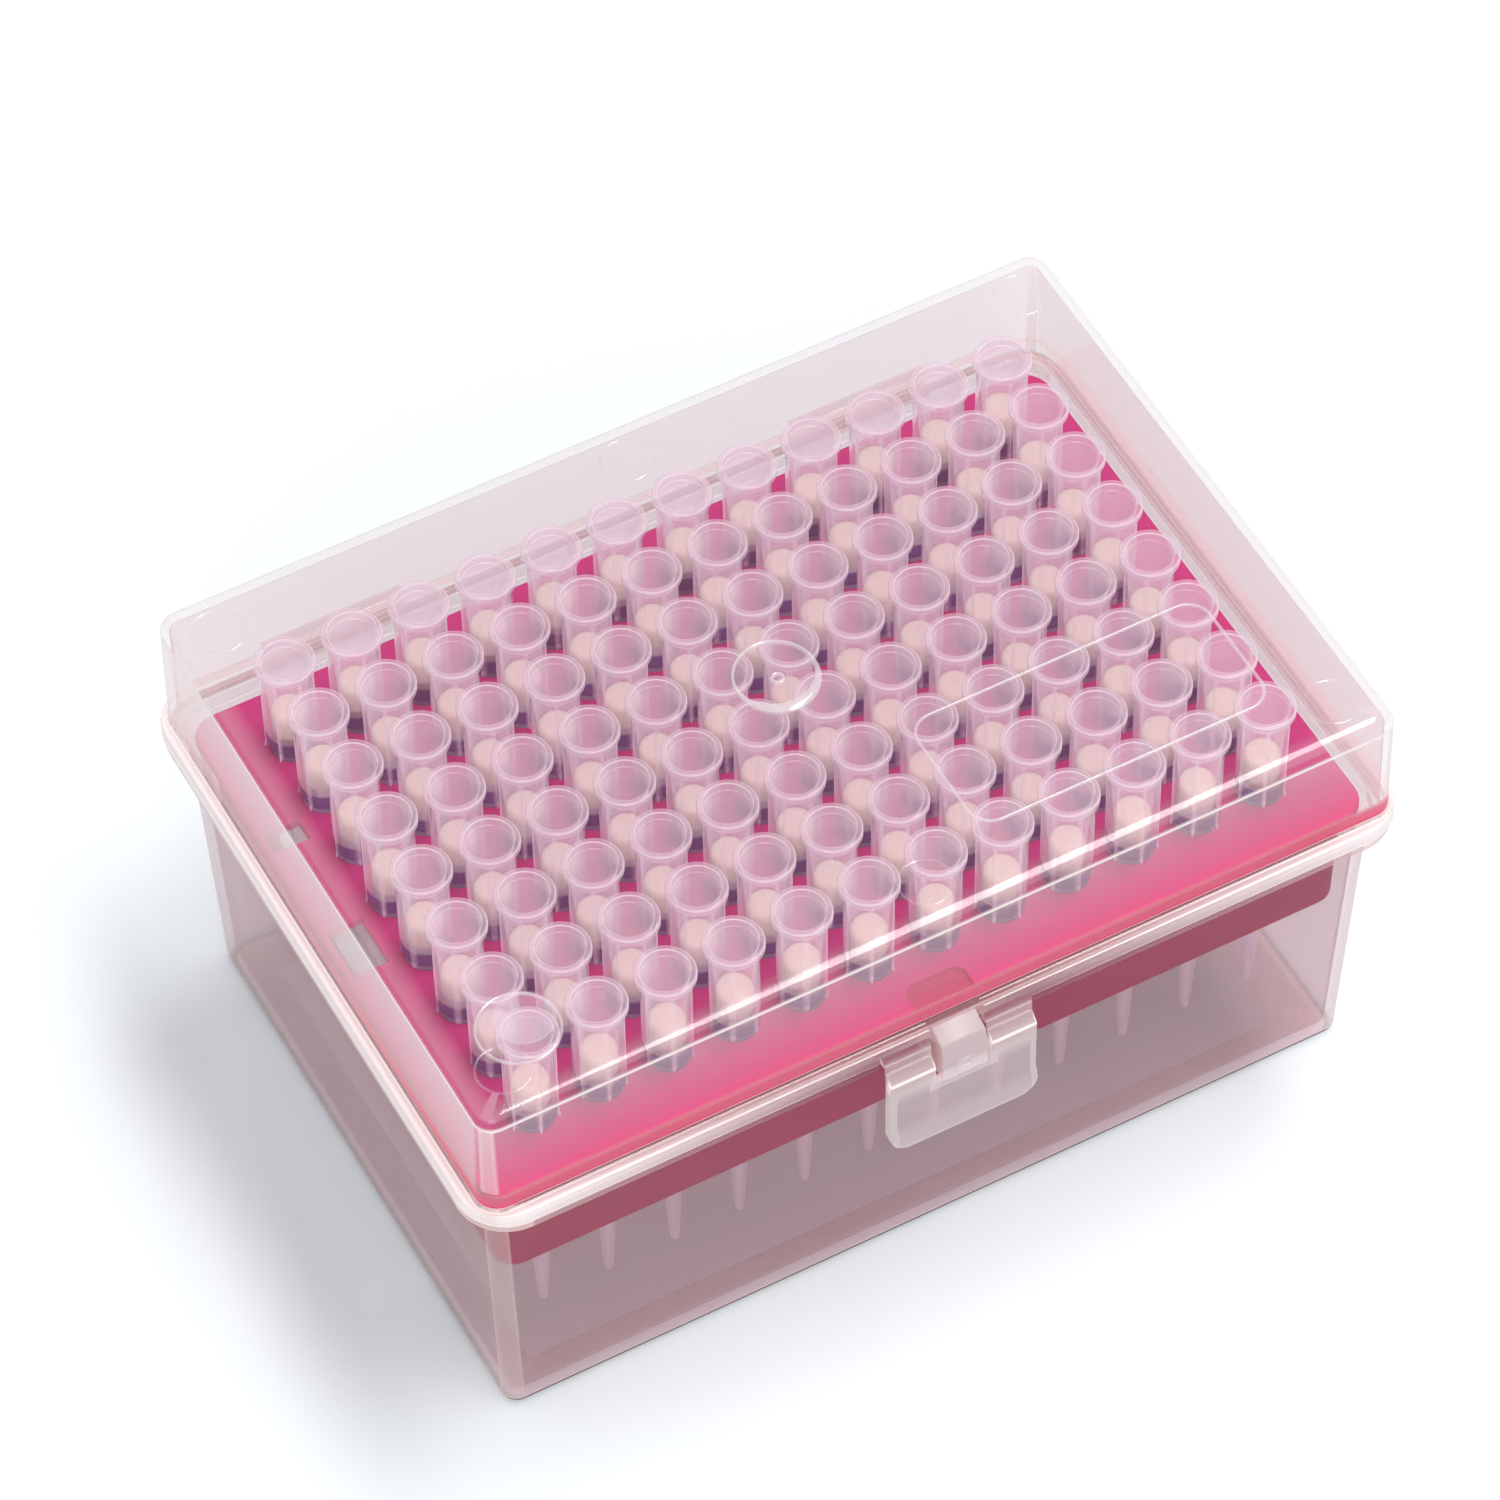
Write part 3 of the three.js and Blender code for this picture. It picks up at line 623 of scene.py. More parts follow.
# Heights of the band of painted shade below the filter, and how it fades.
BAND_LOW, BAND_HIGH, BAND_FADE = 37.8, 41.5, (0.5, 0.4)
SHAFT_THICK, RIB_THICK, FOOT_THICK = 1.3, 4.5, 8.0
PAINTED_SHADE_THICK, BORE_THICK = 1.2, 2.4
SHAFT = [
    (0.46, 0.0), (0.56, 0.2), (0.72, 2.5), (0.97, 7.6), (1.6, 17.6), (2.4, 30.6), (2.6, 38.1),
    (2.62, 38.9),
]
COLLAR = [
    (2.9, 38.93), (3.0, 39.05), (3.02, 39.4), (3.02, 39.6), (3.03, 41.1), (3.03, 41.6),
    (3.05, 47.0), (3.07, 52.6),
]
RING = [
    (3.2, 52.9), (3.6, 53.05), (3.74, 53.25), (3.75, 53.9), (3.7, 54.12), (3.56, 54.27),
    (3.4, 54.3), (3.14, 54.3), (3.03, 54.22), (2.98, 54.05),
]
# The ring is thicker plastic, and the peaks among these values are painted pale lines of light round the
# mouth.
RING_LINES = [3.0, 1.0, 1.0, 1.5, 7.0, 2.0, 0.8, 0.8, 8.0, 2.5]
BORE = [
    (2.95, 53.2), (2.82, 53.05), (2.76, 52.2), (2.66, 52.05), (2.52, 48.0), (2.38, 45.2),
    (2.36, 40.4), (2.1, 40.0), (2.05, 38.0), (1.9, 30.6), (1.15, 17.6), (0.6, 7.6), (0.22, 0.0),
]
tip_profile = np.array(SHAFT + COLLAR + RING + BORE) + [0, POINT_Z]
level = np.arange(len(tip_profile))
collar_start = len(SHAFT)
ring_start = collar_start + len(COLLAR)
bore_start = ring_start + len(RING)
on_shaft = level < collar_start
on_collar = (level >= collar_start) & (level < ring_start)
at_foot = (level >= collar_start) & (level < collar_start + 2)
in_foot = (level >= collar_start) & (level < collar_start + 3)
in_bore = level >= bore_start
ring_lines = np.zeros(len(tip_profile))
ring_lines[ring_start:bore_start] = RING_LINES
height = tip_profile[:, 1] - POINT_Z
# The band below the filter is painted purple shade, where the real tip is dark in the filter's shadow.
painted_shade_below_filter = np.clip((height - BAND_LOW) / BAND_FADE[0], 0, 1)
painted_shade_below_filter *= np.clip((BAND_HIGH - height) / BAND_FADE[1], 0, 1)
rib_reach = RIB_HEIGHT + FOOT_SPREAD * at_foot
print(f"tip: {height.max():.1f} mm long, {len(tip_profile)} points round its wall")


# %% One tip
def rib_shape(start):
    """1 on each of six upright lines from start, falling straight to 0 one step either side."""
    angle = np.linspace(0, 2 * math.pi, TIP_SIDES, endpoint=False)
    step = 2 * math.pi / TIP_SIDES
    from_rib = (angle - start + math.pi / RIBS) % (2 * math.pi / RIBS) - math.pi / RIBS
    return np.clip(1 - np.abs(from_rib) / step, 0, 1)[None, :]


def tip(name, place, start):
    """One tip: the profile with its ribs, thick in the ring, the ribs and the shaft, deep by the filter."""
    rib = rib_shape(start)
    bulge = (rib_reach * on_collar)[:, None] * rib, -RIB_FOOT * at_foot[:, None] * rib
    piece = spun(name, tip_profile, place, TIP_SIDES, bulge=bulge)
    thick = (
        ring_lines[:, None]
        + SHAFT_THICK * on_shaft[:, None]
        + RIB_THICK * on_collar[:, None] * rib
        + FOOT_THICK * in_foot[:, None] * rib
        + PAINTED_SHADE_THICK * painted_shade_below_filter[:, None]
        + BORE_THICK * in_bore[:, None]
    )
    # Painted shade below the filter, between the ribs.
    deep = painted_shade_below_filter[:, None] * (1 - rib)
    set_shares(piece, thick=thick, deep=deep)
    coat(smooth(piece), tip_plastic)
    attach(piece, "box")
    return piece


def column_x(column):
    """The x of a column, or of an array of columns, in millimetres."""
    return FIRST_X + column * PITCH


def row_y(row):
    """The y of a row, or of an array of rows, in millimetres."""
    return FIRST_Y + row * PITCH


# %% The filter in a tip
FILTER = [
    (2.2, 41.5), (2.32, 41.65), (2.32, 44.6), (2.24, 44.95), (2.05, 45.25), (1.75, 45.42),
    (0.9, 45.5),
]
FILTER_SIDES = 32
filter_profile = np.array(FILTER) + [0, POINT_Z]
print(f"filter: {FILTER[-1][1] - FILTER[0][1]:.1f} mm long, {2 * FILTER[1][0]:.2f} mm wide")

# %% All ninety-six
random = np.random.default_rng(96)
for row, letter in enumerate(LOOSE_ROWS + FUSED_ROWS):
    for column in range(COLUMNS):
        place = (column_x(column), row_y(row))
        start = random.uniform(0, 2 * math.pi)
        label = f"{letter}{column + 1}"
        moulded = tip(f"moulded_tip_{label}", place, start)
        if letter in LOOSE_ROWS:
            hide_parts(f"tip_{label}")
        plug = spun(f"filter_{label}", filter_profile, place, FILTER_SIDES, loop=False)
        coat(smooth(plug), filter_plastic)
        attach(plug, "box")
print("tips:", COLUMNS * ROWS, "of", len(moulded.data.polygons), "faces")

# %% [markdown]
# ## The rack
# The rack is a plate with a skirt below it and a hole for each tip. Two boxes joined together would come
# near, but one section carried round gives the draft and the soft edges too. The holes have a small
# lead-in, so the cutter is a short turned pin with a wider head, repeated on the grid: one cut makes all
# ninety-six.

# %% Plate and skirt
RACK_LOW = 27.1
SKIRT_INSET, SKIRT_WALL, RACK_DRAFT = 1.7, 1.2, 0.3
rack_x, rack_y = PLATE_X - SKIRT_INSET, PLATE_Y - SKIRT_INSET
rack_in_x, rack_in_y = rack_x - SKIRT_WALL, rack_y - SKIRT_WALL
rack_rows = [
    (rack_in_x - 3, rack_in_y - 3, 1.2, PLATE_UNDER, 0),
    (rack_in_x, rack_in_y, 1.8, PLATE_UNDER, 0),
    (rack_in_x - RACK_DRAFT, rack_in_y - RACK_DRAFT, 1.8, RACK_LOW, 0),
    (rack_x - RACK_DRAFT, rack_y - RACK_DRAFT, 3.0, RACK_LOW, 0),
    (rack_x, rack_y, 3.0, PLATE_UNDER, 0),
    (PLATE_X, PLATE_Y, 3.5, PLATE_UNDER, 0),
    (PLATE_X, PLATE_Y, 3.5, PLATE_TOP, 0),
    (PLATE_X - 3, PLATE_Y - 3, 1.5, PLATE_TOP, 0),
]
rack_reaches = [0.6, 0.3, 0.3, 0.3, 0.25, 0.4]
rack_section = soften(rack_rows, rack_reaches, [(0, 0)] * 6)
rack, _ = moulded_shell("magenta_rack", rack_section)
print("rack wall:", len(rack_section), "rows")

# %% Holes
HOLE = [(2.75, PLATE_UNDER - 1), (2.75, PLATE_TOP - 0.2), (2.95, PLATE_TOP + 0.05), (2.95, PLATE_TOP + 1)]
HOLE_SIDES = 28


def hole_pins():
    """One mesh of ninety-six turned pins: the pin's points shifted to every place of the grid."""
    pin = spun("pins", HOLE, (0, 0), HOLE_SIDES, loop=False)
    points = points_mm(pin)
    faces = [list(face.vertices) for face in pin.data.polygons]
    across, along = np.meshgrid(column_x(np.arange(COLUMNS)), row_y(np.arange(ROWS)))
    shifts = np.stack([across.ravel(), along.ravel(), np.zeros(across.size)], axis=-1)
    grid = (shifts[:, None, :] + points[None, :, :]).reshape(-1, 3)
    repeated = [[v + k * len(points) for v in face] for k in range(len(shifts)) for face in faces]
    bpy.data.meshes.remove(pin.data)
    return mesh_object("pins", grid, repeated)


apply_boolean(rack, hole_pins(), "DIFFERENCE")
print("holes:", COLUMNS * ROWS)

# %% Slots, window and finger notch
SLOT_WIDTH, SLOT_INSET = 4.8, 3.2
SLOTS = ((0.0, 7.4), (19.0, 3.2))
slot_x = -PLATE_X + SLOT_INSET
for middle_y, length in SLOTS:
    low = (slot_x - SLOT_WIDTH / 2, middle_y - length / 2, PLATE_UNDER - PLATE_THICK)
    high = (slot_x + SLOT_WIDTH / 2, middle_y + length / 2, PLATE_TOP + 1)
    apply_boolean(rack, block(low, high), "DIFFERENCE")
WINDOW_HALF, WINDOW_DROP = 6, 5
window_low = (-PLATE_X, -WINDOW_HALF, PLATE_UNDER - WINDOW_DROP)
window_high = (-rack_x + 2 * SKIRT_WALL, WINDOW_HALF, PLATE_UNDER - REST_GAP)
apply_boolean(rack, block(window_low, window_high), "DIFFERENCE")
NOTCH_X, NOTCH_HALF, NOTCH_DEPTH, NOTCH_CORNER = 1, 4, 3.6, 1
NOTCH_FLOOR = PLATE_TOP - PLATE_THICK / 2
notch_low, notch_high = NOTCH_X - NOTCH_HALF, NOTCH_X + NOTCH_HALF
notch_front, notch_back = -PLATE_Y - 1, -PLATE_Y + NOTCH_DEPTH
notch_outline = [
    (notch_low, notch_front),
    (notch_high, notch_front),
    (notch_high, notch_back - NOTCH_CORNER),
    (notch_high - NOTCH_CORNER, notch_back),
    (notch_low + NOTCH_CORNER, notch_back),
    (notch_low, notch_back - NOTCH_CORNER),
]
notch_points = np.array([(x, y, z) for z in (NOTCH_FLOOR, PLATE_TOP + 1) for x, y in notch_outline])
notch = mesh_object("notch", notch_points, capped_faces(2, len(notch_outline)))
apply_boolean(rack, notch, "DIFFERENCE")
coat(smooth(rack), rack_plastic, shaded_notch_plastic, skirt_plastic)
across, along, up = face_centres(rack)
on_floor = (along < notch_back) & (np.abs(up - NOTCH_FLOOR) < NEAR)
on_notch = on_floor & (np.abs(across - NOTCH_X) < NOTCH_HALF + REST_GAP)
on_skirt = up < PLATE_UNDER - 2 * NEAR
rack.data.polygons.foreach_set("material_index", (on_notch + 2 * on_skirt).astype(np.int32))
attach(rack, "box")
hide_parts("tip_rack")
print("rack faces:", len(rack.data.polygons))

# %% [markdown]
# ## The tray
# The tray is one wall too: up the outside, over the flange and the lip, down to the ledge that carries
# the rack, and down the inside to the floor. A box with a Solidify modifier would have the same wall all
# over, while a section can step and taper as the moulding does. The catch and the lower straps don't
# follow the wall, so they are joined on.

# %% Tray wall
foot_x, foot_y = TRAY_X - TRAY_DRAFT, TRAY_Y - TRAY_DRAFT
tray_rows = [
    (foot_x - 5, foot_y - 5, 1.5, 0.0, 0),
    (foot_x, foot_y, 2.0, 0.0, 0.05),
    (TRAY_X, TRAY_Y, 2.0, STEP_Z, 0.6),
    (LIP_X, LIP_Y, 5.2, RIM_UNDER, 2.0),
    (RIM_X, RIM_Y, 6.55, RIM_UNDER, 3.5),
    (RIM_X, RIM_Y, 6.55, RIM_TOP, 3.5),
    (LIP_X, LIP_Y, 5.2, RIM_TOP, 3.0),
    (LIP_X, LIP_Y, 5.2, LIP_TOP, 0.4),
    (RECESS_X, RECESS_Y, 4.1, LIP_TOP, 0.4),
    (RECESS_X, RECESS_Y, 4.1, LEDGE_Z, 0.2),
    (INSIDE_X, INSIDE_Y, 1.2, LEDGE_Z, 0.1),
    (foot_x - WALL, foot_y - WALL, 1.2, WALL, 0.1),
    (foot_x - 6, foot_y - 6, 0.8, WALL, 0),
]
tray_reaches = [1.3, 0.5, 0.2, 0.25, 0.25, 0.2, 0.3, 0.3, 0.3, 0.3, 0.8]
tray_edges = [(0, 9), (3, 3), (3, 4), (5, 3), (2, 4), (1, 1), (1, 1), (1, 1), (2, 2), (1, 1), (2, 2)]
tray_section = soften(tray_rows, tray_reaches, tray_edges, steps=6)
tray, tray_thick = moulded_shell("milky_tray", tray_section, corner_thickness=3.0)
tray_points = points_mm(tray)
print("tray wall:", len(tray_section), "rows")

# %% Flange notch and catch
FLAP_HALF = 10.0
CATCH_HALF, CATCH_SIDE_GAP = 3.0, 0.7
CATCH_REACH, CATCH_SLOPE, CATCH_NOSE, CATCH_FACE = 6.0, 0.6, 2.1, 3.9
GAP_HALF = CATCH_HALF + CATCH_SIDE_GAP
CATCH_FACE_Y = -TRAY_Y - CATCH_REACH
CATCH_BACK_Y = -FOOT_Y - REST_GAP
CATCH_TOP = LIP_TOP + REST_GAP
CATCH_RIDGE = CATCH_TOP - 1.0
CATCH_UNDER = CATCH_RIDGE - CATCH_NOSE - CATCH_FACE
catch_outline = [
    (-TRAY_Y + WALL / 2, CATCH_UNDER),
    (-TRAY_Y + WALL / 2, STEP_Z + REST_GAP),
    (-LIP_Y + WALL / 2, RIM_UNDER + REST_GAP),
    (-LIP_Y + WALL / 2, LIP_TOP - REST_GAP),
    (CATCH_BACK_Y, CATCH_TOP),
    (CATCH_FACE_Y + CATCH_SLOPE, CATCH_RIDGE),
    (CATCH_FACE_Y, CATCH_RIDGE - CATCH_NOSE),
    (CATCH_FACE_Y, CATCH_UNDER),
]
web_half = FLAP_HALF + 0.5
notch_low = (-web_half, -RIM_Y - 1, RIM_UNDER - REST_GAP)
apply_boolean(tray, block(notch_low, (web_half, -LIP_Y, RIM_TOP + REST_GAP)), "DIFFERENCE")
catch = carried("catch", catch_outline, -CATCH_HALF, CATCH_HALF)
apply_boolean(tray, bevelled(catch, 0.22), "UNION")
STUD_Z, STUD_HALF, STUD_HOLE = 41.2, 1.1, 0.6
for half, front, rear, operation in (
    (STUD_HALF, CATCH_FACE_Y - 0.15, CATCH_FACE_Y + 0.4, "UNION"),
    (STUD_HOLE, CATCH_FACE_Y - 1, CATCH_FACE_Y + 0.1, "DIFFERENCE"),
):
    low, high = (-half, front, STUD_Z - half), (half, rear, STUD_Z + half)
    apply_boolean(tray, block(low, high), operation)
print(f"catch: {2 * CATCH_HALF:.0f} mm wide, stands out {CATCH_REACH:.0f} mm")

# %% Lower straps
STRAP_HALF, STRAP_X, FOLD_GAP, STRAP_WEB = 9.7, 36.9, 0.3, 0.35
for side in (-1, 1):
    low = (side * STRAP_X - STRAP_HALF, RIM_Y - 0.6, HINGE_Z - 1.9)
    high = (side * STRAP_X + STRAP_HALF, HINGE_Y - STRAP_WEB, HINGE_Z - FOLD_GAP)
    apply_boolean(tray, bevelled(block(low, high), 0.2), "UNION")
print(f"straps: {2 * STRAP_HALF:.1f} mm wide, {2 * STRAP_X:.1f} mm from centre to centre")

# %% How thick the tray looks
CATCH_THICK, STRAP_THICK, CONTACT_THICK = 5.5, 4.0, 8.0
CONTACT_HEIGHT = 1.0
thick = kept_shares(tray, tray_points, tray_thick)
across, along, up = points_mm(tray).T
in_catch = (np.abs(across) < CATCH_HALF + 2 * NEAR) & (along < -LIP_Y + WALL) & (up > CATCH_UNDER - 1)
# The last millimetre of the foot is dark, where the plastic stands in its own shadow.
low = (up > NEAR) & (up < CONTACT_HEIGHT)
thick = np.where(in_catch, CATCH_THICK, np.where(along > RIM_Y + NEAR, STRAP_THICK, thick))
set_shares(tray, thick=np.where(low, CONTACT_THICK, thick), deep=low)
coat(smooth(tray), tray_plastic, catch_plastic)
across, along, up = face_centres(tray)
in_catch = np.abs(across) < CATCH_HALF + 2 * NEAR
catch_faces = in_catch & (along < -RIM_Y + 1) & (up > CATCH_UNDER - 2 * NEAR)
tray.data.polygons.foreach_set("material_index", catch_faces.astype(np.int32))
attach(tray, "box")
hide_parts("tray")
print("tray faces:", len(tray.data.polygons))

# %% [markdown]
# ## The lid
# The lid's wall runs down the inside from the ceiling, out under the ledge, round the skirt's hem, and
# up the outside to the round top edge. That round edge is what catches the long highlight. A Bevel
# modifier could round it, but parabolas in the section also give rows on which the milkiness can change.

# %% Lid wall
top_x, top_y = FOOT_X - LID_DRAFT, FOOT_Y - LID_DRAFT
WALL_MILK, EDGE_MILK, CORNER_MILK = 2.7, 0.6, 3.6
CORNER_BAND = (0.3, 0.7)
FOOT_REACH = 0.4
TOP_REACH, TOP_RADIUS, FOOT_RADIUS = 2.0, 2.3, 2.9
# Heights and amounts of the rack's colour painted as a glow in the foot of the walls.
GLOW_HEIGHTS = (FOOT_REACH + 0.2, 0.8, 2.2, 3.2)
PAINTED_GLOW_THICK = (9.0, 8.0, 6.5, 0.1)
PAINTED_GLOW_SHARE = (1.0, 0.87, 0.8, 0.0)
FLAT_INSET = 6
glow_rows = []
for rise in GLOW_HEIGHTS[1:]:
    draft = LID_DRAFT * rise / (LID_TOP - LEDGE_TOP)
    glow_rows.append((FOOT_X - draft, FOOT_Y - draft, FOOT_RADIUS, LEDGE_TOP + rise, 0.1))
lid_rows = [
    (top_x - FLAT_INSET, top_y - FLAT_INSET, 2.0, CEILING_Z, 0),
    (top_x - WALL, top_y - WALL, TOP_RADIUS - WALL, CEILING_Z, 0.9),
    (FOOT_X - WALL, FOOT_Y - WALL, FOOT_RADIUS - WALL, LEDGE_UNDER, 0.9),
    (SKIRT_IN_X, SKIRT_IN_Y, 5.5, LEDGE_UNDER, 3.0),
    (SKIRT_IN_X, SKIRT_IN_Y, 5.5, HEM_Z, 4.0),
    (SKIRT_X, SKIRT_Y, 6.6, HEM_Z, 7.5),
    (SKIRT_X, SKIRT_Y, 6.6, LEDGE_TOP, 9.0),
    (FOOT_X + 0.7, FOOT_Y + 0.7, FOOT_RADIUS + 0.7, LEDGE_TOP, 7.5),
    (FOOT_X, FOOT_Y, FOOT_RADIUS, LEDGE_TOP, 0.1),
    *glow_rows,
    (top_x, top_y, TOP_RADIUS, LID_TOP, WALL_MILK),
    (top_x - 3.2, top_y - 3.2, 1.0, LID_TOP, 0),
    (top_x - FLAT_INSET, top_y - FLAT_INSET, 2.0, LID_TOP, 0),
]
lid_reaches = [0.8, 0.4, 0.2, 0.2, 0.3, 0.5, 0.05, FOOT_REACH, 0.05, 0.05, 0.05, TOP_REACH, 0.1]
lid_edges = [(1, 1), (0, 0), (0, 0), (2, 2), (3, 3), (2, 5), (0, 0), (7, 7), *[(0, 0)] * 3, (9, 0), (0, 0)]
lid_section = soften(lid_rows, lid_reaches, lid_edges, steps=6)
lid, lid_thick = moulded_shell("clear_lid", lid_section, CORNER_MILK, CORNER_BAND)
lid_points = points_mm(lid)
print("lid wall:", len(lid_section), "rows")

# %% Web, upper straps and the gap for the catch
web = block((-FLAP_HALF, -SKIRT_Y, FOLD_Z + FOLD_GAP), (FLAP_HALF, -SKIRT_IN_Y, LEDGE_UNDER))
apply_boolean(lid, bevelled(web, 0.15), "UNION")
for side in (-1, 1):
    low = (side * STRAP_X - STRAP_HALF, SKIRT_Y - 0.6, HINGE_Z + FOLD_GAP)
    high = (side * STRAP_X + STRAP_HALF, HINGE_Y - STRAP_WEB, HINGE_Z + 2.3)
    apply_boolean(lid, bevelled(block(low, high), 0.3), "UNION")
catch_gap = block((-GAP_HALF, -SKIRT_Y - 1, FOLD_Z - 1), (GAP_HALF, -FOOT_Y, LEDGE_TOP + 1))
apply_boolean(lid, catch_gap, "DIFFERENCE")
print(f"gap for the catch: {2 * GAP_HALF:.1f} mm wide")

# %% How thick the lid looks
SIDE_MILK, BACK_MILK = 1.8, 1.2
thick = kept_shares(lid, lid_points, lid_thick)
across, along, up = points_mm(lid).T
on_web = (np.abs(across) < FLAP_HALF + 2 * NEAR) & (along < -SKIRT_IN_Y) & (up < HEM_Z)
on_straps = along > SKIRT_Y + NEAR
above_ledge = up - LEDGE_TOP
core_x = np.maximum(np.abs(across) - FOOT_X + FOOT_RADIUS, 0)
core_y = np.maximum(np.abs(along) - FOOT_Y + FOOT_RADIUS, 0)
outside = np.hypot(core_x, core_y) > FOOT_RADIUS - WALL / 2
at_foot = outside & (above_ledge > FOOT_REACH + NEAR) & (above_ledge < GLOW_HEIGHTS[-1])
# The rack's colour is painted into the foot of the walls as a glow of its light, strongest at the front and
# fading towards the back.
towards_front = np.clip(0.5 - along / (2 * (FOOT_Y - FOOT_RADIUS)), 0, 1)
painted_glow_thick = np.interp(above_ledge, GLOW_HEIGHTS, PAINTED_GLOW_THICK)
painted_glow_share = at_foot * towards_front * np.interp(above_ledge, GLOW_HEIGHTS, PAINTED_GLOW_SHARE)
thick = np.where(at_foot, thick + towards_front * (painted_glow_thick - thick), thick)
# Seen from inside, the far walls look milky. The round top edge stays clear.
on_roof = up > CEILING_Z - NEAR / 5
in_room = ~outside & (above_ledge > 0) & ~on_roof
on_side = np.abs(across) > top_x - WALL - 2 * NEAR
thick = np.where(in_room, np.where(on_side, SIDE_MILK, BACK_MILK), thick)
on_edge = outside & (up > LID_TOP - TOP_REACH + NEAR) & (up < LID_TOP)
thick = np.where(on_edge, EDGE_MILK, thick)
thick = np.where(on_roof & ~on_edge, np.minimum(thick, WALL_MILK), thick)
thick = np.where(on_web | on_straps, STRAP_THICK, thick)
set_shares(lid, thick=thick, deep=painted_glow_share)
coat(smooth(lid), lid_plastic, ledge_plastic)
across, along, up = face_centres(lid)
beyond_wall = (np.abs(across) > FOOT_X + 2 * NEAR) | (np.abs(along) > FOOT_Y + 2 * NEAR)
on_ledge = beyond_wall & (up > HEM_Z - 2 * NEAR)
lid.data.polygons.foreach_set("material_index", on_ledge.astype(np.int32))
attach(lid, "lid")
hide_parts("lid")
print("lid faces:", len(lid.data.polygons))

# %% [markdown]
# ## Marks left by the mould
# Ejector pins, the gate and a writing panel leave shallow outlines on the lid's top. A bump pattern could
# draw them, but it hardly shows on clear plastic. A real ridge catches the light from any side, so each
# is a low hump, a small closed section carried along its outline.

# %% Ridges on the top
def ridge_loop(outline, half_width, height):
    """A low ridge along a closed outline: at every point, a hump of five points set across it.

    Two more points close the section below the lid's top. half_width is one number, or one for each
    point of the outline.
    """
    outline = np.asarray(outline, float)
    ahead = np.roll(outline, -1, axis=0) - np.roll(outline, 1, axis=0)
    ahead /= np.linalg.norm(ahead, axis=1)[:, None]
    out = np.stack([ahead[:, 1], -ahead[:, 0]], axis=-1)
    across = np.array([1.0, 0.6, 0.0, -0.6, -1.0, -1.0, 1.0])[:, None] * half_width
    rise = np.array([0.0, 0.8, 1.0, 0.8, 0.0, -1.5, -1.5]) * height
    spot = outline[None, :, :] + across[..., None] * out[None, :, :]
    z = LID_TOP + rise[:, None] + 0 * spot[..., 0]
    return np.concatenate([spot, z[..., None]], axis=-1)


def ridges(name, outlines, half_width, height, thick=0.0):
    """One object of several ridge loops, paler where thick is larger."""
    points, faces, start = [], [], 0
    for outline in outlines:
        loop = ridge_loop(outline, half_width, height)
        quads = strip_faces(loop.shape[0], loop.shape[1], closed=True)
        points.append(loop.reshape(-1, 3))
        faces += (quads + start).tolist()
        start += loop.shape[0] * loop.shape[1]
    piece = smooth(mesh_object(name, np.concatenate(points), faces))
    set_shares(piece, thick=np.full(len(piece.data.vertices), thick))
    coat(piece, highlight_mark_plastic)
    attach(piece, "lid")
    return piece


def circle(x, y, radius, steps=64):
    """The points of a circle about (x, y)."""
    angle = np.linspace(0, 2 * math.pi, steps, endpoint=False)
    return np.stack([x + radius * np.cos(angle), y + radius * np.sin(angle)], axis=-1)


# %% The marks
# The ridges are milky white: a painted highlight, as the real marks catch the light.
highlight_mark_plastic = natural_polypropylene(
    "polypropylene ridge with painted highlight",
    clear="#fefdfd", milk="#ffffff", veil="#fafafa",
    haze=(0.5, 1.0), gloss=(BOTH_FACES, 0.9),
)
frosted_plastic = natural_polypropylene(
    "frosted polypropylene disc",
    clear="#fbf6fc", milk="#fbf2fb", veil="#fafafa",
    haze=(0.22, 0.5), gloss=(ONE_FACE, 0.6), roughness=0.4,
)
PIN_X, PIN_Y, PIN_RADIUS = 55.3, 37.0, 3.3
GATE, GATE_RADIUS = (-0.4, -1.3), 5.1
pin_marks = [circle(x, y, PIN_RADIUS) for y in (-PIN_Y, PIN_Y) for x in (-PIN_X, 0, PIN_X)]
ridges("ejector_marks", pin_marks, 0.14, 0.05, thick=-4.0)
gate = circle(*GATE, GATE_RADIUS)
towards_front = 0.5 - (gate[:, 1] - GATE[1]) / (2 * GATE_RADIUS)
ridges("gate_ring", [gate], 0.16 + 0.6 * towards_front**3, 0.24)
ridges("gate_stub", [circle(GATE[0], GATE[1] - 0.6, 0.7, 24)], 0.2, 0.2)
PANEL_PLACE, PANEL_HALF, PANEL_CORNER = (29.5, -24.3), (20.0, 8.85), 3.0
panel = rounded_rectangles([(*PANEL_HALF, PANEL_CORNER, 0, 0)])[0, :, :2] + PANEL_PLACE
ridges("panel_outline", [panel], 0.18, 0.14, thick=-1.0)
DISC_X, DISC_Y, DISC_RADIUS = -51.1, -32.6, 5.0
ridges("disc_outline", [circle(DISC_X, DISC_Y, DISC_RADIUS)], 0.16, 0.14, thick=-1.0)
FROSTED = [(3.75, -0.1), (3.75, 0.03), (3.6, 0.06), (3.4, 0.04)]
frosted_profile = np.array(FROSTED) + [0, LID_TOP]
frosted = spun("frosted_disc", frosted_profile, (DISC_X + 1.2, DISC_Y + 1.0), 64, loop=False)
coat(smooth(frosted), frosted_plastic)
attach(frosted, "lid")
print("marks: panel", [2 * half for half in PANEL_HALF], "mm, disc", 2 * DISC_RADIUS, "mm")

# %% [markdown]
# ## The latch flap
# The flap is a plate with round lower corners and a window that snaps under the catch. Its top is
# slanted, and its foot kicks out for a fingertip. It could be built face by face, but its front outline
# and its side profile are both simple: each is carried straight, and the flap is what the two share.

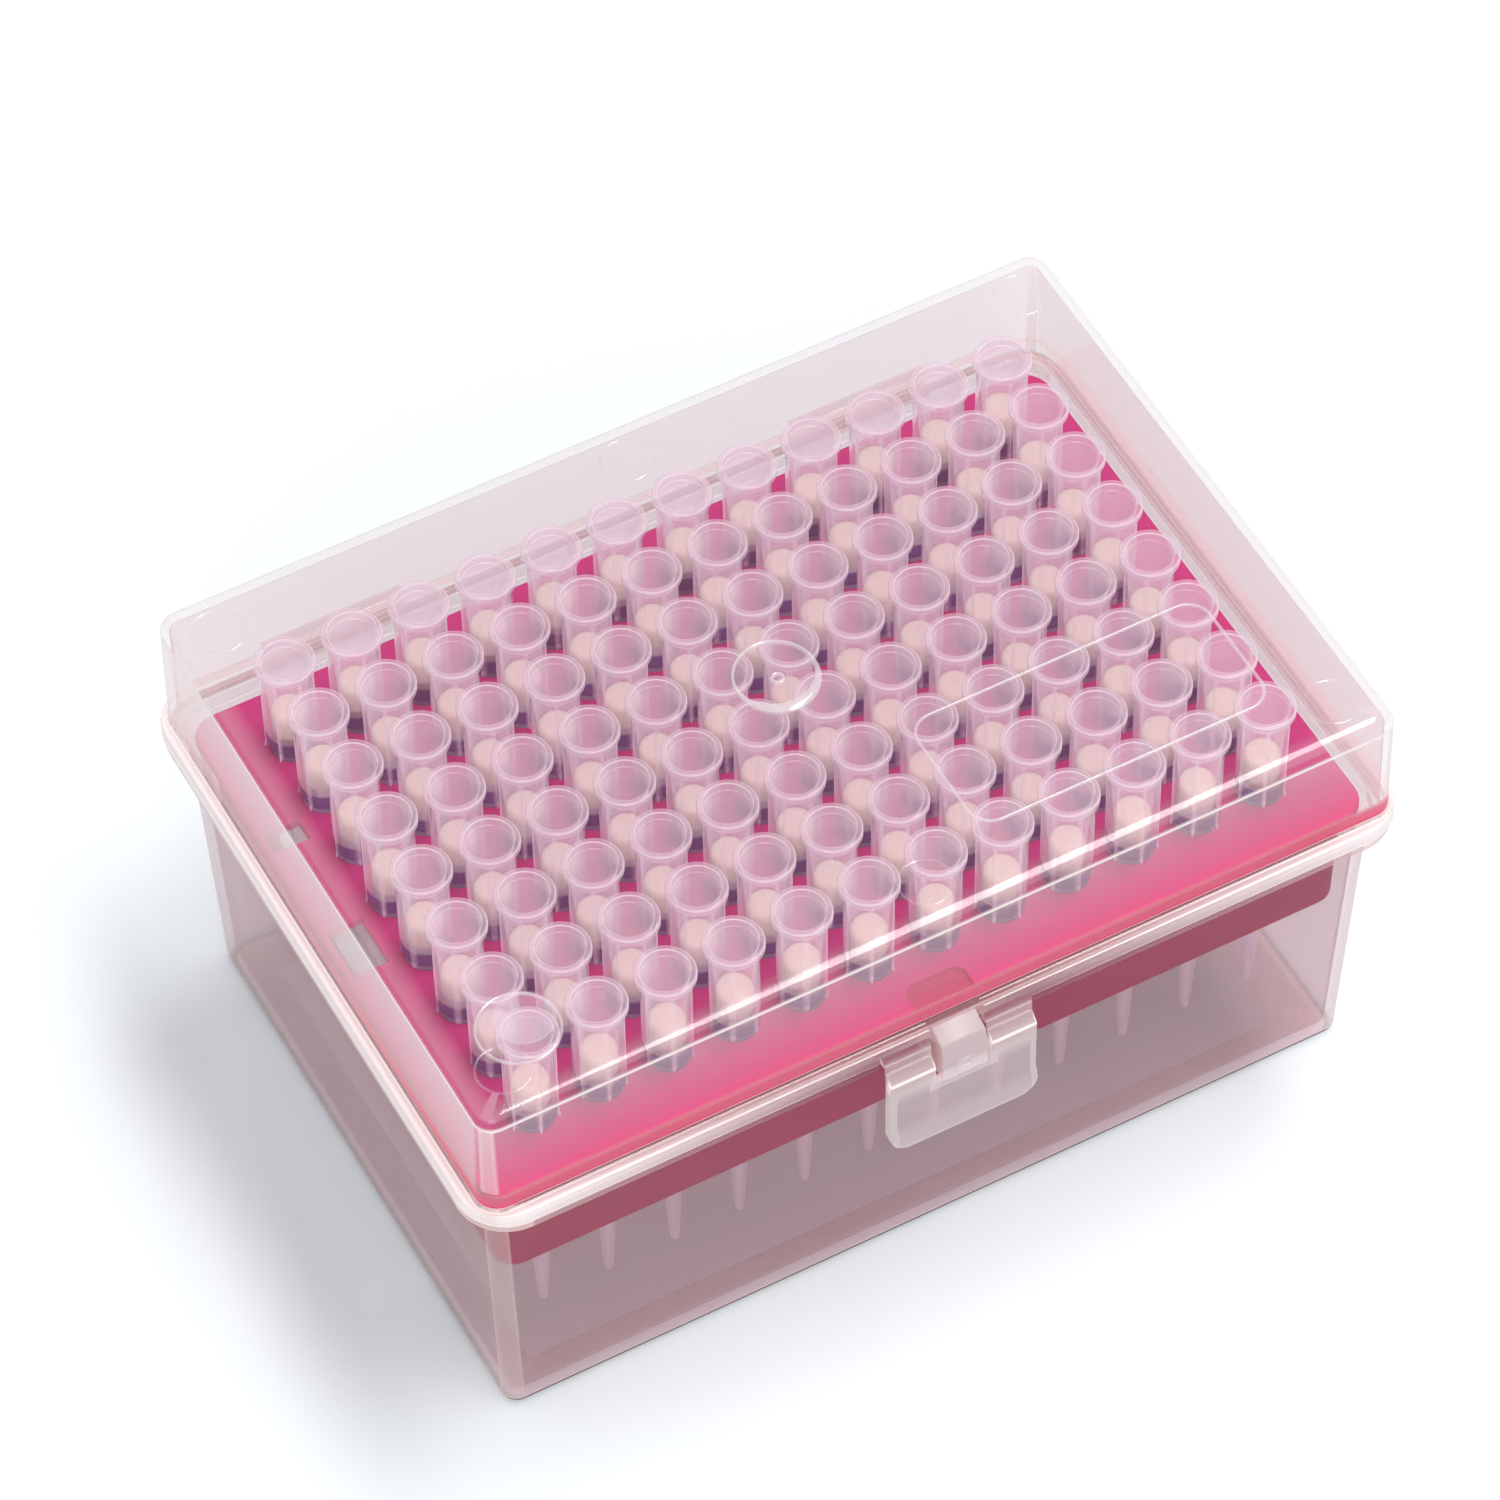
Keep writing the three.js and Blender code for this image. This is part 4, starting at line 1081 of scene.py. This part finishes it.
# %% Outline and side profile of the flap
FLAP_THICK, FLAP_SETBACK, FLAP_DROP = 1.4, 0.15, 14.2
FLAP_CORNER, FLAP_SLANT = 2.5, 1.6
GRIP_HEIGHT, GRIP_KICK, GRIP_SLOPE = 4.3, 0.6, 1.6
SILL = CATCH_UNDER - 0.55
flap_top = FOLD_Z - FOLD_GAP
flap_foot = flap_top - FLAP_DROP
flap_back = FOLD_Y - FLAP_SETBACK
flap_face = flap_back - FLAP_THICK


def arc(x, z, radius, first, last, steps=8):
    """Points on a circle about (x, z), from the angle first to the angle last, in degrees."""
    angle = np.radians(np.linspace(first, last, steps + 1))
    return np.stack([x + radius * np.cos(angle), z + radius * np.sin(angle)], axis=-1).tolist()


flap_outline = (
    [(-FLAP_HALF, flap_top + 1)]
    + arc(-FLAP_HALF + FLAP_CORNER, flap_foot + FLAP_CORNER, FLAP_CORNER, 180, 270)
    + arc(FLAP_HALF - FLAP_CORNER, flap_foot + FLAP_CORNER, FLAP_CORNER, 270, 360)
    + [(FLAP_HALF, flap_top + 1), (GAP_HALF, flap_top + 1), (GAP_HALF, SILL)]
    + [(-GAP_HALF, SILL), (-GAP_HALF, flap_top + 1)]
)
front, rear = flap_face - 3, flap_back + 1
outline_x, outline_z = np.array(flap_outline).T
sheets = [np.column_stack([outline_x, 0 * outline_x + y, outline_z]) for y in (rear, front)]
flap = mesh_object("latch_plate", np.concatenate(sheets), capped_faces(2, len(flap_outline)))
flap_side = [
    (flap_back, flap_foot - 1),
    (flap_face - GRIP_KICK, flap_foot - 1),
    (flap_face - GRIP_KICK, flap_foot + GRIP_HEIGHT - GRIP_SLOPE),
    (flap_face, flap_foot + GRIP_HEIGHT),
    (flap_face, flap_top - FLAP_SLANT),
    (flap_back, flap_top),
]
apply_boolean(flap, carried("side", flap_side[::-1], -FLAP_HALF - 2, FLAP_HALF + 2), "INTERSECT")
bevelled(flap, 0.3, segments=4, angle=35)
print(f"flap: {2 * FLAP_HALF:.0f} mm wide, {FLAP_DROP} mm high, {FLAP_THICK} mm thick")

# %% Pale border and painted fold highlight of the flap
FLAP_BORDER, BAND_HEIGHT, BORDER_EDGE, FOOT_TRIM = 0.9, 2.0, 0.12, 0.45
BORDER_THICK, SLANT_THICK, FOLD_HIGHLIGHT_THICK, GRIP_THICK = 2.4, 0.4, 9.0, 1.2
BAND_Z = flap_top - FLAP_SLANT - BAND_HEIGHT


def scored(piece, lines):
    """Cuts a piece's faces along planes across x or z, so that a share can change there."""
    shape = bmesh.new()
    shape.from_mesh(piece.data)
    for axis, value in lines:
        everything = [*shape.verts, *shape.edges, *shape.faces]
        direction = Vector((axis == "x", 0, axis == "z"))
        bmesh.ops.bisect_plane(shape, geom=everything, plane_co=direction * value * MM, plane_no=direction)
    shape.to_mesh(piece.data)
    shape.free()
    return piece


def flap_border(x, z):
    """1 within a border's width of the flap's sides, foot, window and top band, falling to 0 inside it."""
    beside_window = np.where(z > SILL - FLAP_BORDER - BORDER_EDGE, np.abs(x) - GAP_HALF, FLAP_BORDER * 2)
    under_window = np.where(np.abs(x) < GAP_HALF + FLAP_BORDER + BORDER_EDGE, SILL - z, FLAP_BORDER * 2)
    window = np.maximum(beside_window, under_window)
    inward = np.minimum(FLAP_HALF - np.abs(x), z - flap_foot + FOOT_TRIM)
    inward = np.minimum(inward, np.minimum(window, BAND_Z + FLAP_BORDER - z))
    return np.clip((FLAP_BORDER + BORDER_EDGE - inward) / BORDER_EDGE, 0, 1)


steps = (FLAP_BORDER, FLAP_BORDER + BORDER_EDGE)
score_lines = [("x", side * (FLAP_HALF - step)) for side in (-1, 1) for step in steps]
score_lines += [("x", side * (GAP_HALF + step)) for side in (-1, 1) for step in steps]
score_lines += [("z", level) for step in steps for level in (flap_foot + step - FOOT_TRIM, SILL - step)]
score_lines += [("z", BAND_Z + BORDER_EDGE), ("z", BAND_Z)]
scored(flap, score_lines)
across, _, up = points_mm(flap).T
slant_foot = flap_top - FLAP_SLANT
# A pale line painted along the fold stands in for its highlight.
on_painted_fold_highlight = np.abs(up - slant_foot) < 0.2
on_grip = up < flap_foot + GRIP_HEIGHT - GRIP_SLOPE + 0.2
thick = np.where(up > slant_foot + 0.3, SLANT_THICK, BORDER_THICK * flap_border(across, up))
set_shares(flap, thick=np.maximum(thick, FOLD_HIGHLIGHT_THICK * on_painted_fold_highlight + GRIP_THICK * on_grip))
coat(smooth(flap), latch_plastic)
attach(flap, "latch")
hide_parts("latch_flap")
print("flap faces:", len(flap.data.polygons))

# %% [markdown]
# ## Living hinges
# The straps and the flap's fold are thin webs of the same plastic, which bend each time the box is
# opened. A web that belonged to one body alone would swing away from the other. Each is a strip of its
# own, with many rows across the fold where the real web bends.

# %% Bending webs
WEB_ROWS, BEND_HALF = 16, 0.6


def bending_web(name, x_range, y_outside, thickness, z_range):
    """A thin upright strip whose rows run across the fold, from the lower body to the upper one."""
    low_x, high_x = x_range
    z = np.linspace(z_range[0], z_range[1], WEB_ROWS)
    inner = y_outside - thickness
    corners = np.array([(high_x, y_outside), (low_x, y_outside), (low_x, inner), (high_x, inner)])
    points = np.concatenate([np.column_stack([corners, np.full(4, level)]) for level in z])
    web = coat(smooth(mesh_object(name, points, capped_faces(WEB_ROWS, 4))), latch_plastic)
    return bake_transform(web)


for label, side in (("left", -1), ("right", 1)):
    reach = (side * STRAP_X - STRAP_HALF + 0.2, side * STRAP_X + STRAP_HALF - 0.2)
    bending_web(f"strap_{label}", reach, HINGE_Y, STRAP_WEB, (HINGE_Z - 1.6, HINGE_Z + 1.9))
    arm = sorted((side * (GAP_HALF + 0.1), side * (FLAP_HALF - 0.1)))
    bending_web(f"fold_{label}", arm, FOLD_Y - 0.02, 0.3, (FOLD_Z - 0.9, FOLD_Z + 0.9))
print("webs: two straps and two folds of", WEB_ROWS, "rows")

# %% [markdown]
# ## Light and floor
# A pale sweep under soft light. One long lamp hangs high to the right of the box: it throws the shadow
# towards the viewer's left and draws the line of light along the lid's front edge. One square lamp, far
# off in front and to the left, lights the front walls, and the world fills the rest. The world alone
# would leave the box without shadow or highlight, and a lamp can be moved until its light falls right.

# %% Lamps and world
def area_lamp(name, place, aim, size, power):
    """A soft rectangular lamp at place, in millimetres, that shines at aim."""
    data = bpy.data.lights.new(name, "AREA")
    data.shape = "RECTANGLE"
    data.size, data.size_y = size[0] * MM, size[1] * MM
    data.energy = power
    lamp = new_object(name, data)
    direction = (Vector(aim) - Vector(place)).normalized()
    turn = direction.to_track_quat("-Z", "Y").to_matrix().to_4x4()
    lamp.matrix_world = Matrix.Translation(Vector(place) * MM) @ turn


MIDDLE = (0, 0, 30)
area_lamp("long_softbox", (300, -80, 980), MIDDLE, (800, 220), 6.0)
area_lamp("front_fill", (-600, -1050, 760), MIDDLE, (900, 900), 6.0)

world = bpy.data.worlds.new("studio")
bpy.context.scene.world = world
world.use_nodes = True
background = world.node_tree.nodes["Background"]
background.inputs["Color"].default_value = linear("#f4f8fb")
background.inputs["Strength"].default_value = 0.64
print("lamps:", len(bpy.data.lights))

# %% Floor
floor_material, floor_tree, floor_output = new_material("white paper sweep")
paper = add_node(
    floor_tree,
    "ShaderNodeBsdfPrincipled",
    {"Base Color": linear("#f3f9fc"), "Roughness": 0.7, "Specular IOR Level": 0.2},
)
floor_tree.links.new(paper.outputs[0], floor_output.inputs["Surface"])
FLOOR_HALF = 3000
corners = [(x * FLOOR_HALF, y * FLOOR_HALF, 0) for x, y in ((-1, -1), (1, -1), (1, 1), (-1, 1))]
floor = mesh_object("floor", corners, [[0, 1, 2, 3]])
coat(floor, floor_material)
print(f"floor: {2 * FLOOR_HALF * MM:.0f} m square")

# %% Render settings
scene = bpy.context.scene
scene.view_settings.view_transform = "Standard"
scene.cycles.transparent_max_bounces = 32
scene.cycles.max_bounces = 5
scene.cycles.diffuse_bounces = 2
scene.cycles.glossy_bounces = 2
